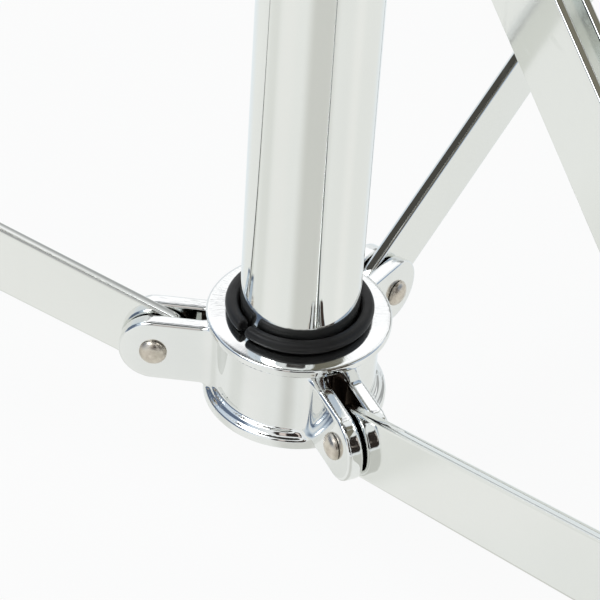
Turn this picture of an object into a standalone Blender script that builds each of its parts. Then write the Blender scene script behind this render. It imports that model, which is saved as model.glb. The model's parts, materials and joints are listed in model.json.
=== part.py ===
"""Double cymbal stand: a folding tripod, a telescoping mast and two boom arms with cymbal seats.

The frame stands on the floor at z = 0, with the mast on the z axis. Arm 1 of the tripod points
along -x, arms 2 and 3 follow at 120 degrees, and the booms lean out along +x and -x.

The tripod folds as a scissor: a brace and the upper part of a leg are equally long, so the upper
collar rises straight up the mast while the brace lifts from the fixed lower hub.
"""
import math

import bmesh
import bpy
from mathutils import Matrix, Vector

MM = 0.001
DEG = math.pi / 180

# Clearances
RUN_GAP = 0.25 * MM
SEAT_GAP = 0.25 * MM

# Base tube
TUBE_RADIUS = 14.3 * MM
TUBE_WALL = 1.5 * MM
TUBE_TOP = 560 * MM
TUBE_END_INSET = 2 * MM

# Tripod layout
ARM_AZIMUTHS = (180 * DEG, 300 * DEG, 60 * DEG)
PIVOT_RADIUS = 34 * MM
BRACE_LENGTH = 200 * MM
LEG_LENGTH = 489 * MM
LEG_END_RISE = 15.4 * MM
OPEN_ANGLE = 27 * DEG

# Castings of the tripod
HUB_PIVOT_DEPTH = 13 * MM
HUB_HEIGHT = 25 * MM
FLANGE_RADIUS = 22.2 * MM
FLANGE_THICKNESS = 2.8 * MM
WAIST_RADIUS = 19.5 * MM
BORE_RADIUS = 16 * MM
EAR_RADIUS = 8.6 * MM
EAR_THICKNESS = 3.6 * MM
EAR_ROUND = 0.6 * MM
BRACE_SIDE_GAP = 0.75 * MM
ROOT_FILLET = 3 * MM
RIM_ROUND = 0.8 * MM
COLLAR_TOP_RISE = 27 * MM
COLLAR_TOP_RADIUS = 22 * MM
COLLAR_EAR_RADIUS = 9 * MM
BOSS_RADIUS = 7 * MM
BOSS_REACH = 28 * MM
BOSS_RISE = 17 * MM

# Bushes between the castings and the base tube
BUSH_RIM_RADIUS = 17.7 * MM
BUSH_RIM_HEIGHT = 5.3 * MM
BUSH_RIM_ROUND = 1 * MM
BUSH_SPLIT = 1.6 * MM
BUSH_SPLIT_AZIMUTH = 224.6 * DEG
SET_SCREW_AZIMUTH = 120 * DEG
SET_SCREW_RADIUS = 2.2 * MM

# Brace and leg straps
BRACE_WIDTH = 17 * MM
BRACE_THICKNESS = 3 * MM
LEG_WIDTH = 22 * MM
LEG_STRAP_THICKNESS = 1.6 * MM
LEG_CORNER = 4 * MM
ROUND_END = 0.99

# Rivets and spacers
RIVET_RADIUS = 2.2 * MM
RIVET_HEAD_RADIUS = 3.5 * MM
RIVET_HEAD_HEIGHT = 1.9 * MM
LEG_SPACER_RADIUS = 4 * MM

# Rubber feet
FOOT_WIDTH = 19 * MM
FOOT_ROUND = 2 * MM
FOOT_WALL = 3.2 * MM
FOOT_GRIP = 28 * MM
FOOT_TOE = 13 * MM
TREAD_GROOVE = 1.6 * MM
TREAD_PITCH = 6 * MM

# Wing grips
WING_SPAN = 19 * MM
WING_HUB_RADIUS = 6.5 * MM
WING_HEIGHT = 17 * MM
WING_THICKNESS = 4 * MM
WING_HUB_HEIGHT = 12 * MM
BOLT_RADIUS = 4 * MM

# Clamp between base tube and middle tube
MAST_RADIUS = 11.1 * MM
MAST_WALL = 1.4 * MM
MAST_BOTTOM = 330 * MM
MAST_TOP = 900 * MM
CLAMP_GRIP_LENGTH = 26 * MM
CLAMP_HEIGHT = 62 * MM
CLAMP_RADIUS = 18.6 * MM
CLAMP_EAR_REACH = 43.5 * MM
CLAMP_EAR_HEIGHT = 20 * MM
CLAMP_EAR_THICKNESS = 8 * MM
CLAMP_SLIT = 3 * MM
CLAMP_BOLT_RADIUS = 3 * MM
CLAMP_BOLT_RADIAL = 35 * MM
CLAMP_BOLT_HEAD_RADIUS = 5.2 * MM
CLAMP_BOLT_HEAD_HEIGHT = 4 * MM
CLAMP_BUSH_WALL = 0.8 * MM
CLAMP_BUSH_TAIL = 10 * MM
LOCK_HEIGHT = 14 * MM
LOCK_RADIUS = 17 * MM
LOCK_EAR_REACH = 11 * MM
LOCK_EAR_THICKNESS = 4.5 * MM
LOCK_KEY_RADIUS = 2.5 * MM
LOCK_KEY_HEAD_RADIUS = 4.5 * MM
LOCK_KEY_HEAD_HEIGHT = 2 * MM
LOCK_KEY_SQUARE = 4.4 * MM
LOCK_KEY_SQUARE_HEIGHT = 6 * MM

# Double holder
HOLDER_SLEEVE_RADIUS = 15.4 * MM
HOLDER_SLEEVE_LENGTH = 42 * MM
HOLDER_THICKNESS = 14 * MM
HOLDER_BOSS_RADIUS = 16.5 * MM
HOLDER_WAIST = 11 * MM
HOLDER_CAP = 7 * MM
LOWER_BOOM_RISE = 40 * MM
BOOM_SPACING = 60 * MM

# Booms
BOOM_PITCH = 18 * DEG
BOOM_RADIUS = 6.35 * MM
BOOM_WALL = 1.5 * MM
BOOM_OFFSET = 24 * MM
BOOM_REACH = 462 * MM
BOOM_TAIL = 75 * MM
SWIVEL_RADIUS = 15 * MM
EYE_RADIUS = 10.8 * MM
EYE_WIDTH = 10 * MM
CAP_WALL = 1.6 * MM
CAP_LENGTH = 14 * MM

# Tilters and cymbal seats
TILTER_DISC_RADIUS = 13 * MM
TILTER_HEAD_THICKNESS = 11 * MM
TILTER_END_WALL = 3 * MM
TILTER_SOCKET_RADIUS = 9.5 * MM
TILTER_SOCKET_DEPTH = 24 * MM
TILTER_GAP = 1.5 * MM
TILTER_BOLT_RADIUS = 3 * MM
POST_LEAN = 8 * DEG
POST_RADIUS = 4 * MM
POST_BOSS_TOP = 26 * MM
POST_TOP = 80 * MM
SEAT_FLANGE_RADIUS = 16 * MM
SEAT_FLANGE_THICKNESS = 3 * MM
SLEEVE_RADIUS = 6 * MM
FELT_RADIUS = 19 * MM
FELT_THICKNESS = 12 * MM
FELT_ROUND = 1.5 * MM
CYMBAL_ROOM = 4 * MM

# Numbers of flats round a turned piece
FINE = 24
ROUND = 16
SMALL = 10
TINY = 8

LEG_END = LEG_LENGTH - BRACE_LENGTH
FOOT_START = LEG_END - FOOT_GRIP
HUB_PIVOT_HEIGHT = LEG_END_RISE + (LEG_END - BRACE_LENGTH) * math.sin(OPEN_ANGLE)
COLLAR_PIVOT_HEIGHT = HUB_PIVOT_HEIGHT + 2 * BRACE_LENGTH * math.sin(OPEN_ANGLE)
HUB_TOP = HUB_PIVOT_HEIGHT + HUB_PIVOT_DEPTH
JOINT_RADIUS = PIVOT_RADIUS + BRACE_LENGTH * math.cos(OPEN_ANGLE)
JOINT_HEIGHT = HUB_PIVOT_HEIGHT + BRACE_LENGTH * math.sin(OPEN_ANGLE)
FORK_GAP = BRACE_THICKNESS + 2 * BRACE_SIDE_GAP
LEG_GAP = BRACE_THICKNESS + 2 * RUN_GAP
LEG_STACK = LEG_GAP + 2 * LEG_STRAP_THICKNESS
COLLAR_GAP = LEG_STACK + 2 * RUN_GAP
HOLE_RADIUS = RIVET_RADIUS + RUN_GAP
BOLT_HOLE_RADIUS = BOLT_RADIUS + RUN_GAP
SLOT_FLOOR = WAIST_RADIUS + 2 * MM
TILTER_PLACE = BOOM_REACH + TILTER_END_WALL + TILTER_DISC_RADIUS + TILTER_GAP
NECK_RADIUS = TILTER_HEAD_THICKNESS / 2
LOWER_BOOM_HEIGHT = MAST_TOP + LOWER_BOOM_RISE
UPPER_BOOM_HEIGHT = LOWER_BOOM_HEIGHT + BOOM_SPACING
SLEEVE_LENGTH = 2 * FELT_THICKNESS + CYMBAL_ROOM + SEAT_GAP
CLAMP_BOTTOM = TUBE_TOP - CLAMP_GRIP_LENGTH
CLAMP_TOP = CLAMP_BOTTOM + CLAMP_HEIGHT

CHROME = ("chrome", (0.84, 0.85, 0.83), 0.08, 1.0)
CAST_CHROME = ("cast_chrome", (0.82, 0.84, 0.81), 0.12, 1.0)
RIVET_STEEL = ("rivet_steel", (0.74, 0.69, 0.60), 0.28, 1.0)
ZINC = ("zinc_plated", (0.66, 0.67, 0.66), 0.3, 1.0)
BLACK_NYLON = ("black_nylon", (0.03, 0.03, 0.03), 0.45, 0.0)
RUBBER = ("black_rubber", (0.025, 0.025, 0.025), 0.75, 0.0)
FELT = ("grey_felt", (0.16, 0.16, 0.16), 0.95, 0.0)


def clear_scene():
    """Empty the file of objects."""
    for item in list(bpy.data.objects):
        bpy.data.objects.remove(item, do_unlink=True)


def make_collection(name):
    """Return a new collection in the scene."""
    group = bpy.data.collections.new(name)
    bpy.context.scene.collection.children.link(group)
    return group


def make_material(finish):
    """Return the Principled material of a finish, made once."""
    name, colour, roughness, metallic = finish
    material = bpy.data.materials.get(name)
    if material is None:
        material = bpy.data.materials.new(name)
        material.use_nodes = True
        shader = material.node_tree.nodes["Principled BSDF"]
        shader.inputs["Base Color"].default_value = (*colour, 1.0)
        shader.inputs["Roughness"].default_value = roughness
        shader.inputs["Metallic"].default_value = metallic
        material.diffuse_color = (*colour, 1.0)
    return material


clear_scene()
PARTS = make_collection("double_cymbal_stand")
CUTTERS = make_collection("cutters")


def place(x=0.0, y=0.0, z=0.0):
    """Return a translation."""
    return Matrix.Translation((x, y, z))


def turn(angle, axis):
    """Return a rotation about a named axis."""
    return Matrix.Rotation(angle, 4, axis)


def empty(name, parent=None, matrix=Matrix()):
    """Return an empty that carries the pieces of one moving body."""
    item = bpy.data.objects.new(name, None)
    item.empty_display_size = 20 * MM
    PARTS.objects.link(item)
    item.parent = parent
    item.matrix_basis = matrix
    return item


def link(item, finish, parent, matrix):
    """Put an object in the part with its finish, or among the cutters without one."""
    if finish is None:
        CUTTERS.objects.link(item)
        item.hide_render = True
        item.display_type = "WIRE"
    else:
        PARTS.objects.link(item)
        item.data.materials.clear()
        item.data.materials.append(make_material(finish))
    item.parent = parent
    item.matrix_basis = matrix
    return item


def arc(x, y, radius, start, end, count):
    """Return points along an arc, both ends included."""
    points = []
    for step in range(count + 1):
        angle = start + (end - start) * step / count
        points.append((x + radius * math.cos(angle), y + radius * math.sin(angle)))
    return points


def ring(x, y, radius, count):
    """Return the points of a closed circle."""
    return arc(x, y, radius, 0, 2 * math.pi, count)[:-1]


def rounded(corners, per_turn=SMALL):
    """Return a closed outline whose corners (x, y, radius) are rounded by arcs."""
    points = []
    count = len(corners)
    for index, (x, y, radius) in enumerate(corners):
        corner = Vector((x, y))
        before = Vector(corners[index - 1][:2]) - corner
        after = Vector(corners[(index + 1) % count][:2]) - corner
        opening = before.angle(after)
        if radius <= 0:
            points.append((x, y))
            continue
        reach = radius / math.tan(opening / 2)
        middle = (before.normalized() + after.normalized()).normalized()
        centre = corner + middle * radius / math.sin(opening / 2)
        first = corner + before.normalized() * reach - centre
        last = corner + after.normalized() * reach - centre
        start = math.atan2(first.y, first.x)
        sweep = math.atan2(first.cross(last), first.dot(last))
        steps = max(1, round(abs(sweep) / (2 * math.pi) * per_turn))
        points += arc(centre.x, centre.y, radius, start, start + sweep, steps)
    return points


def turned(name, profile, finish=None, parent=None, matrix=Matrix(), steps=ROUND):
    """Return a turned piece: the profile (radius, height) runs down its outer side."""
    mesh = bpy.data.meshes.new(name)
    vertices = [(radius, 0, height) for radius, height in profile]
    edges = [(index, index + 1) for index in range(len(profile) - 1)]
    if profile[0][0] > 0:
        edges.append((len(profile) - 1, 0))
    mesh.from_pydata(vertices, edges, [])
    item = link(bpy.data.objects.new(name, mesh), finish, parent, matrix)
    screw = item.modifiers.new("turn", "SCREW")
    screw.steps = steps
    screw.render_steps = steps
    screw.use_merge_vertices = True
    screw.merge_threshold = 0.01 * MM
    screw.use_smooth_shade = True
    return item


def cylinder(name, radius, bottom, top, finish=None, parent=None, matrix=Matrix(), steps=SMALL):
    """Return a plain turned cylinder along its own z axis."""
    profile = [(0, top), (radius, top), (radius, bottom), (0, bottom)]
    return turned(name, profile, finish, parent, matrix, steps)


def pipe(name, outer, inner, bottom, top, finish=None, parent=None, matrix=Matrix(), steps=ROUND):
    """Return a tube along its own z axis."""
    profile = [(inner, top), (outer, top), (outer, bottom), (inner, bottom)]
    return turned(name, profile, finish, parent, matrix, steps)


def box(name, low, high, finish=None, parent=None, matrix=Matrix()):
    """Return a box between two corners."""
    mesh = bpy.data.meshes.new(name)
    shape = bmesh.new()
    bmesh.ops.create_cube(shape, size=1)
    size = Vector(high) - Vector(low)
    bmesh.ops.scale(shape, vec=size, verts=shape.verts)
    bmesh.ops.translate(shape, vec=(Vector(high) + Vector(low)) / 2, verts=shape.verts)
    shape.to_mesh(mesh)
    shape.free()
    return link(bpy.data.objects.new(name, mesh), finish, parent, matrix)


def plate(name, outlines, thickness, edge=0.0, finish=None, parent=None, matrix=Matrix(), stand=Matrix()):
    """Return a flat piece from closed outlines, the later ones being holes, with rounded edges."""
    curve = bpy.data.curves.new(name, "CURVE")
    curve.dimensions = "2D"
    curve.fill_mode = "BOTH"
    curve.extrude = thickness / 2 - edge
    curve.bevel_depth = edge
    curve.bevel_resolution = 0
    curve.offset = -edge
    for outline in outlines:
        spline = curve.splines.new("POLY")
        spline.points.add(len(outline) - 1)
        for point, (x, y) in zip(spline.points, outline):
            point.co = (x, y, 0, 1)
        spline.use_cyclic_u = True
    draft = bpy.data.objects.new(name + "_draft", curve)
    bpy.context.scene.collection.objects.link(draft)
    bpy.context.view_layer.update()
    mesh = bpy.data.meshes.new_from_object(draft.evaluated_get(bpy.context.evaluated_depsgraph_get()))
    bpy.data.objects.remove(draft, do_unlink=True)
    shape = bmesh.new()
    shape.from_mesh(mesh)
    bmesh.ops.remove_doubles(shape, verts=shape.verts, dist=0.001 * MM)
    bmesh.ops.transform(shape, matrix=stand, verts=shape.verts)
    bmesh.ops.recalc_face_normals(shape, faces=shape.faces)
    shape.to_mesh(mesh)
    shape.free()
    mesh.shade_smooth()
    mesh.set_sharp_from_angle(angle=30 * DEG)
    mesh.name = name
    return link(bpy.data.objects.new(name, mesh), finish, parent, matrix)


UPRIGHT = turn(90 * DEG, "X")


def combine(target, tool, operation):
    """Cut, join or intersect a target with a tool."""
    modifier = target.modifiers.new(operation.lower(), "BOOLEAN")
    modifier.operation = operation
    modifier.solver = "EXACT"
    modifier.object = tool
    return target


def cut(target, *tools):
    """Cut tools out of a target."""
    for tool in tools:
        combine(target, tool, "DIFFERENCE")
    return target


def join(target, *tools):
    """Join tools to a target."""
    for tool in tools:
        combine(target, tool, "UNION")
    return target


def lengthwise(reach):
    """Return the matrix that lays a z axis piece along +y, starting at a given y."""
    return place(y=reach) @ turn(-90 * DEG, "X")


def radial(azimuth, height):
    """Return the matrix that lays a z axis piece along a radius at a height."""
    return turn(azimuth, "Z") @ place(z=height) @ turn(90 * DEG, "Y")


def rivet(name, stack, finish, parent, matrix, collar=()):
    """Return a rivet along y: a domed head past each side of a stack, and any collar about its middle.

    A collar is (radius, half width).
    """
    seat = stack / 2 + SEAT_GAP / 2
    upper = [
        (RIVET_HEAD_RADIUS * math.cos(step * 45 * DEG), seat + RIVET_HEAD_HEIGHT * math.sin(step * 45 * DEG))
        for step in range(2, -1, -1)
    ]
    upper[0] = (0, seat + RIVET_HEAD_HEIGHT)
    upper.append((RIVET_RADIUS, seat))
    if collar:
        radius, half = collar
        upper += [(RIVET_RADIUS, half), (radius, half)]
    lower = [(radius, -height) for radius, height in reversed(upper)]
    return turned(name, upper + lower, finish, parent, matrix @ lengthwise(0), SMALL)


def wing_grip(name, finish, parent, matrix, bore=0.0, shank=0.0, length=0.0):
    """Return a wing nut with a bore, or a wing bolt with a shank that runs down its -z."""
    head = [
        (0, WING_HUB_HEIGHT),
        (WING_HUB_RADIUS * 0.75, WING_HUB_HEIGHT),
        (WING_HUB_RADIUS, 3 * MM),
        (WING_HUB_RADIUS, 0),
    ]
    foot = [(0, 0)]
    if shank > 0:
        foot = [(shank, 0), (shank, -length), (0, -length)]
    grip = turned(name, head + foot, finish, parent, matrix, SMALL)
    corners = [
        (0.45 * WING_SPAN, 1 * MM, 2 * MM),
        (WING_SPAN, 0.42 * WING_HEIGHT, 4 * MM),
        (0.98 * WING_SPAN, WING_HEIGHT, 4 * MM),
        (0.6 * WING_SPAN, 0.88 * WING_HEIGHT, 4 * MM),
        (0.5 * WING_HUB_RADIUS, 0.75 * WING_HUB_HEIGHT, 1 * MM),
    ]
    mirrored = [(-x, y, radius) for x, y, radius in reversed(corners)]
    wings = plate(name + "_wings", [rounded(corners + mirrored, 6)], WING_THICKNESS, parent=parent,
                  matrix=matrix, stand=UPRIGHT)
    join(grip, wings)
    if bore > 0:
        cut(grip, cylinder(name + "_bore", bore, -MM, WING_HEIGHT, parent=parent, matrix=matrix))
    return grip


def fork_outline(gap, tip):
    """Return the plan of a two-eared fork whose roots flare into the waist of a casting."""
    outer = gap / 2 + EAR_THICKNESS
    reach = WAIST_RADIUS + ROOT_FILLET
    rise = outer + ROOT_FILLET
    run = math.sqrt(reach ** 2 - rise ** 2)
    landing = math.atan2(-rise, -run)
    side = [(10 * MM, outer - MM)]
    side += arc(run, rise, ROOT_FILLET, landing, -90 * DEG, 2)
    side += [(tip, outer), (tip, gap / 2)]
    side += arc(SLOT_FLOOR + MM, gap / 2 - MM, MM, 90 * DEG, 180 * DEG, 1)
    return side + [(x, -y) for x, y in reversed(side)]


def fork(name, azimuth, height, gap, radius, edge=0.0):
    """Return the tool that adds one fork to a casting: ears with round ends and a rivet hole."""
    spot = turn(azimuth, "Z") @ place(z=height)
    tip = PIVOT_RADIUS + radius
    tool = plate(name, [fork_outline(gap, tip + MM)], 2 * radius, edge, matrix=spot)
    half = 90 * DEG / 8
    nose = arc(PIVOT_RADIUS, 0, radius, 90 * DEG - half, half - 90 * DEG, 7)
    far = tip + 6 * MM
    lead = nose[0][0]
    outline = [(far, radius * 2), (lead, radius * 2)] + nose + [(lead, -radius * 2), (far, -radius * 2)]
    trimmer = plate(name + "_nose", [outline], 60 * MM, matrix=spot, stand=UPRIGHT)
    hole = cylinder(name + "_hole", HOLE_RADIUS, -30 * MM, 30 * MM,
                    matrix=spot @ place(x=PIVOT_RADIUS) @ lengthwise(0), steps=TINY)
    return cut(tool, trimmer, hole)


def rim(radius, height, towards, depth=RIM_ROUND):
    """Return the two points that break the rim of a flange, from its face to its side."""
    return [(radius - depth, height), (radius, height - towards * depth)]


def casting_profile(top, bottom, top_radius, bottom_radius):
    """Return the half section of a spool-shaped casting, before its bore is cut."""
    upper = top_radius - WAIST_RADIUS - 0.3 * MM
    lower = bottom_radius - WAIST_RADIUS - 0.3 * MM
    profile = [(0, top)] + rim(top_radius, top, 1)
    profile += [(top_radius, top - FLANGE_THICKNESS)]
    profile += arc(WAIST_RADIUS + upper, top - FLANGE_THICKNESS - upper, upper, 90 * DEG, 180 * DEG, 2)
    profile += arc(WAIST_RADIUS + lower, bottom + FLANGE_THICKNESS + lower, lower, 180 * DEG, 270 * DEG, 2)
    profile += [(bottom_radius, bottom + FLANGE_THICKNESS)]
    profile += reversed(rim(bottom_radius, bottom, -1))
    profile += [(0, bottom)]
    return profile


def bore_cutter(name, bottom, top):
    """Return the tool that clears a casting's bore, its flats astride the first arm's plane."""
    return cylinder(name, BORE_RADIUS, bottom - MM, top + MM, matrix=turn(math.pi / FINE, "Z"), steps=FINE)


def bush_profile(face, way, depth):
    """Return a collared bush's section: its collar stands on a face, its body fills the bore."""
    inner = TUBE_RADIUS + RUN_GAP
    body = BORE_RADIUS - RUN_GAP
    top = BUSH_RIM_HEIGHT
    soft = BUSH_RIM_ROUND
    shape = [
        (inner, top - soft),
        (inner + soft, top),
        (BUSH_RIM_RADIUS - soft, top),
        (BUSH_RIM_RADIUS, top - soft),
        (BUSH_RIM_RADIUS, SEAT_GAP + soft),
        (BUSH_RIM_RADIUS - soft, SEAT_GAP),
        (body, SEAT_GAP),
        (body, -depth),
        (inner, -depth),
    ]
    profile = [(radius, face + way * height) for radius, height in shape]
    if way < 0:
        profile.reverse()
    return profile


def make_base():
    """Make what stands still: the base tube, the lower hub with its bush and rivets."""
    bottom = HUB_TOP - HUB_HEIGHT
    tube_bottom = bottom + TUBE_END_INSET
    pipe("base_tube", TUBE_RADIUS, TUBE_RADIUS - TUBE_WALL, tube_bottom, TUBE_TOP, CHROME, steps=FINE)

    profile = casting_profile(HUB_TOP, bottom, FLANGE_RADIUS, FLANGE_RADIUS)
    hub = turned("lower_hub", profile, CAST_CHROME, steps=FINE)
    for number, azimuth in enumerate(ARM_AZIMUTHS, 1):
        join(hub, fork(f"hub_fork_{number}", azimuth, HUB_PIVOT_HEIGHT, FORK_GAP, EAR_RADIUS, EAR_ROUND))
    cut(hub, bore_cutter("hub_bore", bottom, HUB_TOP))
    screw_spot = radial(SET_SCREW_AZIMUTH, HUB_PIVOT_HEIGHT)
    screw_hole = cylinder("set_screw_hole", SET_SCREW_RADIUS + RUN_GAP, TUBE_RADIUS - MM, 2 * WAIST_RADIUS,
                          matrix=screw_spot, steps=TINY)
    cut(hub, screw_hole)

    bush = turned("hub_bushing", bush_profile(HUB_TOP, 1, HUB_HEIGHT - TUBE_END_INSET - MM), BLACK_NYLON,
                  steps=ROUND)
    split = box("hub_bushing_split", (TUBE_RADIUS - 2 * MM, -BUSH_SPLIT / 2, bottom - MM),
                (BUSH_RIM_RADIUS + MM, BUSH_SPLIT / 2, HUB_TOP + 2 * BUSH_RIM_HEIGHT),
                matrix=turn(BUSH_SPLIT_AZIMUTH, "Z"))
    cut(bush, split, screw_hole)

    set_screw = cylinder("hub_set_screw", SET_SCREW_RADIUS, TUBE_RADIUS + SEAT_GAP, WAIST_RADIUS,
                         ZINC, matrix=screw_spot, steps=TINY)
    socket = cylinder("set_screw_socket", SET_SCREW_RADIUS * 0.55, WAIST_RADIUS - 2 * MM, WAIST_RADIUS + MM,
                      matrix=screw_spot, steps=6)
    cut(set_screw, socket)

    for number, azimuth in enumerate(ARM_AZIMUTHS, 1):
        spot = turn(azimuth, "Z") @ place(x=PIVOT_RADIUS, z=HUB_PIVOT_HEIGHT)
        rivet(f"hub_rivet_{number}", FORK_GAP + 2 * EAR_THICKNESS, RIVET_STEEL, None, spot)


def make_clamp():
    """Make the clamp on top of the base tube, its bush and its bolt."""
    grip = TUBE_RADIUS + RUN_GAP
    inner = MAST_RADIUS + RUN_GAP
    bush_outer = TUBE_RADIUS + CLAMP_BUSH_WALL
    flange = TUBE_TOP + SEAT_GAP
    profile = [
        (bush_outer + RUN_GAP, CLAMP_TOP),
        (CLAMP_RADIUS - MM, CLAMP_TOP),
        (CLAMP_RADIUS, CLAMP_TOP - MM),
        (CLAMP_RADIUS, CLAMP_BOTTOM + MM),
        (CLAMP_RADIUS - MM, CLAMP_BOTTOM),
        (grip, CLAMP_BOTTOM),
        (grip, TUBE_TOP),
        (bush_outer + RUN_GAP, TUBE_TOP),
    ]
    clamp = turned("base_clamp", profile, CAST_CHROME, steps=FINE)
    ear_middle = CLAMP_TOP - WING_SPAN - 3 * MM
    half = CLAMP_EAR_HEIGHT / 2
    root = CLAMP_RADIUS - 2 * MM
    corners = [
        (root, -half, 0),
        (CLAMP_EAR_REACH, -half, half * 0.8),
        (CLAMP_EAR_REACH, half, half * 0.8),
        (root, half, 0),
    ]
    ears = plate("clamp_ears", [rounded(corners)], CLAMP_SLIT + 2 * CLAMP_EAR_THICKNESS,
                 matrix=place(z=ear_middle), stand=UPRIGHT)
    slit = box("clamp_slit", (MAST_RADIUS, -CLAMP_SLIT / 2, TUBE_TOP + MM),
               (CLAMP_EAR_REACH + MM, CLAMP_SLIT / 2, CLAMP_TOP + MM))
    bolt_spot = place(x=CLAMP_BOLT_RADIAL, z=ear_middle)
    hole = cylinder("clamp_bolt_hole", CLAMP_BOLT_RADIUS + RUN_GAP, -20 * MM, 20 * MM,
                    matrix=bolt_spot @ lengthwise(0), steps=TINY)
    cut(join(clamp, ears), slit, hole)

    sleeve = TUBE_RADIUS - TUBE_WALL - RUN_GAP
    bush = [
        (inner, CLAMP_TOP - MM),
        (bush_outer, CLAMP_TOP - MM),
        (bush_outer, flange),
        (sleeve, flange),
        (sleeve, CLAMP_BOTTOM - CLAMP_BUSH_TAIL),
        (inner, CLAMP_BOTTOM - CLAMP_BUSH_TAIL),
    ]
    turned("base_clamp_bushing", bush, BLACK_NYLON, steps=ROUND)

    face = CLAMP_SLIT / 2 + CLAMP_EAR_THICKNESS
    head = face + SEAT_GAP
    shank_end = -(face + SEAT_GAP + WING_HUB_HEIGHT + 3 * MM)
    head_top = head + CLAMP_BOLT_HEAD_HEIGHT
    turned("base_clamp_bolt", [
        (0, head_top),
        (CLAMP_BOLT_HEAD_RADIUS - 0.6 * MM, head_top),
        (CLAMP_BOLT_HEAD_RADIUS, head_top - 0.6 * MM),
        (CLAMP_BOLT_HEAD_RADIUS, head),
        (CLAMP_BOLT_RADIUS, head),
        (CLAMP_BOLT_RADIUS, shank_end),
        (0, shank_end),
    ], ZINC, matrix=bolt_spot @ lengthwise(0), steps=SMALL)
    nut_place = bolt_spot @ place(y=-face - SEAT_GAP) @ turn(90 * DEG, "X")
    nut = empty("base_clamp_wing_nut_axis", matrix=nut_place)
    wing_grip("base_clamp_wing_nut", ZINC, nut, Matrix(), bore=CLAMP_BOLT_RADIUS + RUN_GAP)


def foot_outline():
    """Return the side of a rubber foot in the leg's plane: a boot over the leg with a flat tread."""
    slope_sin = math.sin(OPEN_ANGLE)
    slope_cos = math.cos(OPEN_ANGLE)

    def tread(x, depth=0.0):
        """Return the point over the floor at a place along the leg."""
        return x, (x * slope_sin - JOINT_HEIGHT + depth) / slope_cos

    half = LEG_WIDTH / 2 + FOOT_WALL
    toe = LEG_END + FOOT_TOE
    heel = FOOT_START + 0.35 * (toe - FOOT_START)
    heel_point = tread(heel)
    toe_point = tread(toe - 2 * MM)
    corners = [
        (FOOT_START, half, 1.5 * MM),
        (FOOT_START, -half, 1.5 * MM),
        (*heel_point, 2.5 * MM),
    ]
    length = toe_point[0] - heel_point[0]
    grooves = int((length - 10 * MM) / TREAD_PITCH)
    first = heel_point[0] + (length - (grooves - 1) * TREAD_PITCH) / 2
    for index in range(grooves):
        middle = first + index * TREAD_PITCH
        for x, depth in ((-1, 0), (-0.6, 1), (0.6, 1), (1, 0)):
            corners.append((*tread(middle + x * TREAD_GROOVE / 2, depth * TREAD_GROOVE), 0))
    corners += [
        (*toe_point, 2.5 * MM),
        (toe, toe_point[1] + 9 * MM, 4 * MM),
        (toe - 5 * MM, half - MM, 7 * MM),
    ]
    return rounded(corners)


def make_leg(number, brace_axis, leg_axis):
    """Make one brace and one leg: a strap pair, its rivet and its foot."""
    half = BRACE_WIDTH / 2
    far = BRACE_LENGTH + half
    soft = ROUND_END * half
    brace_corners = [(-half, -half, soft), (far, -half, soft), (far, half, soft), (-half, half, soft)]
    holes = [ring(0, 0, HOLE_RADIUS, TINY), ring(BRACE_LENGTH, 0, HOLE_RADIUS, TINY)]
    plate(f"brace_{number}", [rounded(brace_corners, 16)] + holes, BRACE_THICKNESS, 0, CHROME,
          brace_axis, stand=UPRIGHT)

    half = LEG_WIDTH / 2
    leg_corners = [
        (-BRACE_LENGTH - half, -half, ROUND_END * half),
        (LEG_END, -half, LEG_CORNER),
        (LEG_END, half, LEG_CORNER),
        (-BRACE_LENGTH - half, half, ROUND_END * half),
    ]
    holes = [ring(spot, 0, HOLE_RADIUS, TINY) for spot in (-BRACE_LENGTH, 0)]
    shift = (LEG_GAP + LEG_STRAP_THICKNESS) / 2
    for side, word in ((1, "left"), (-1, "right")):
        plate(f"leg_{number}_strap_{word}", [rounded(leg_corners, 16)] + holes, LEG_STRAP_THICKNESS,
              0, CHROME, leg_axis, place(y=side * shift), UPRIGHT)

    rivet(f"leg_{number}_joint_rivet", LEG_STACK, RIVET_STEEL, leg_axis, Matrix())

    foot = plate(f"foot_{number}", [foot_outline()], FOOT_WIDTH, FOOT_ROUND, RUBBER, leg_axis, stand=UPRIGHT)
    for side in (-1, 1):
        middle = side * shift
        depth = LEG_STRAP_THICKNESS / 2 + RUN_GAP
        cut(foot, box(f"foot_{number}_pocket_{side}", (FOOT_START - MM, middle - depth, -half - RUN_GAP),
                      (LEG_END + RUN_GAP, middle + depth, half + RUN_GAP), parent=leg_axis))


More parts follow.
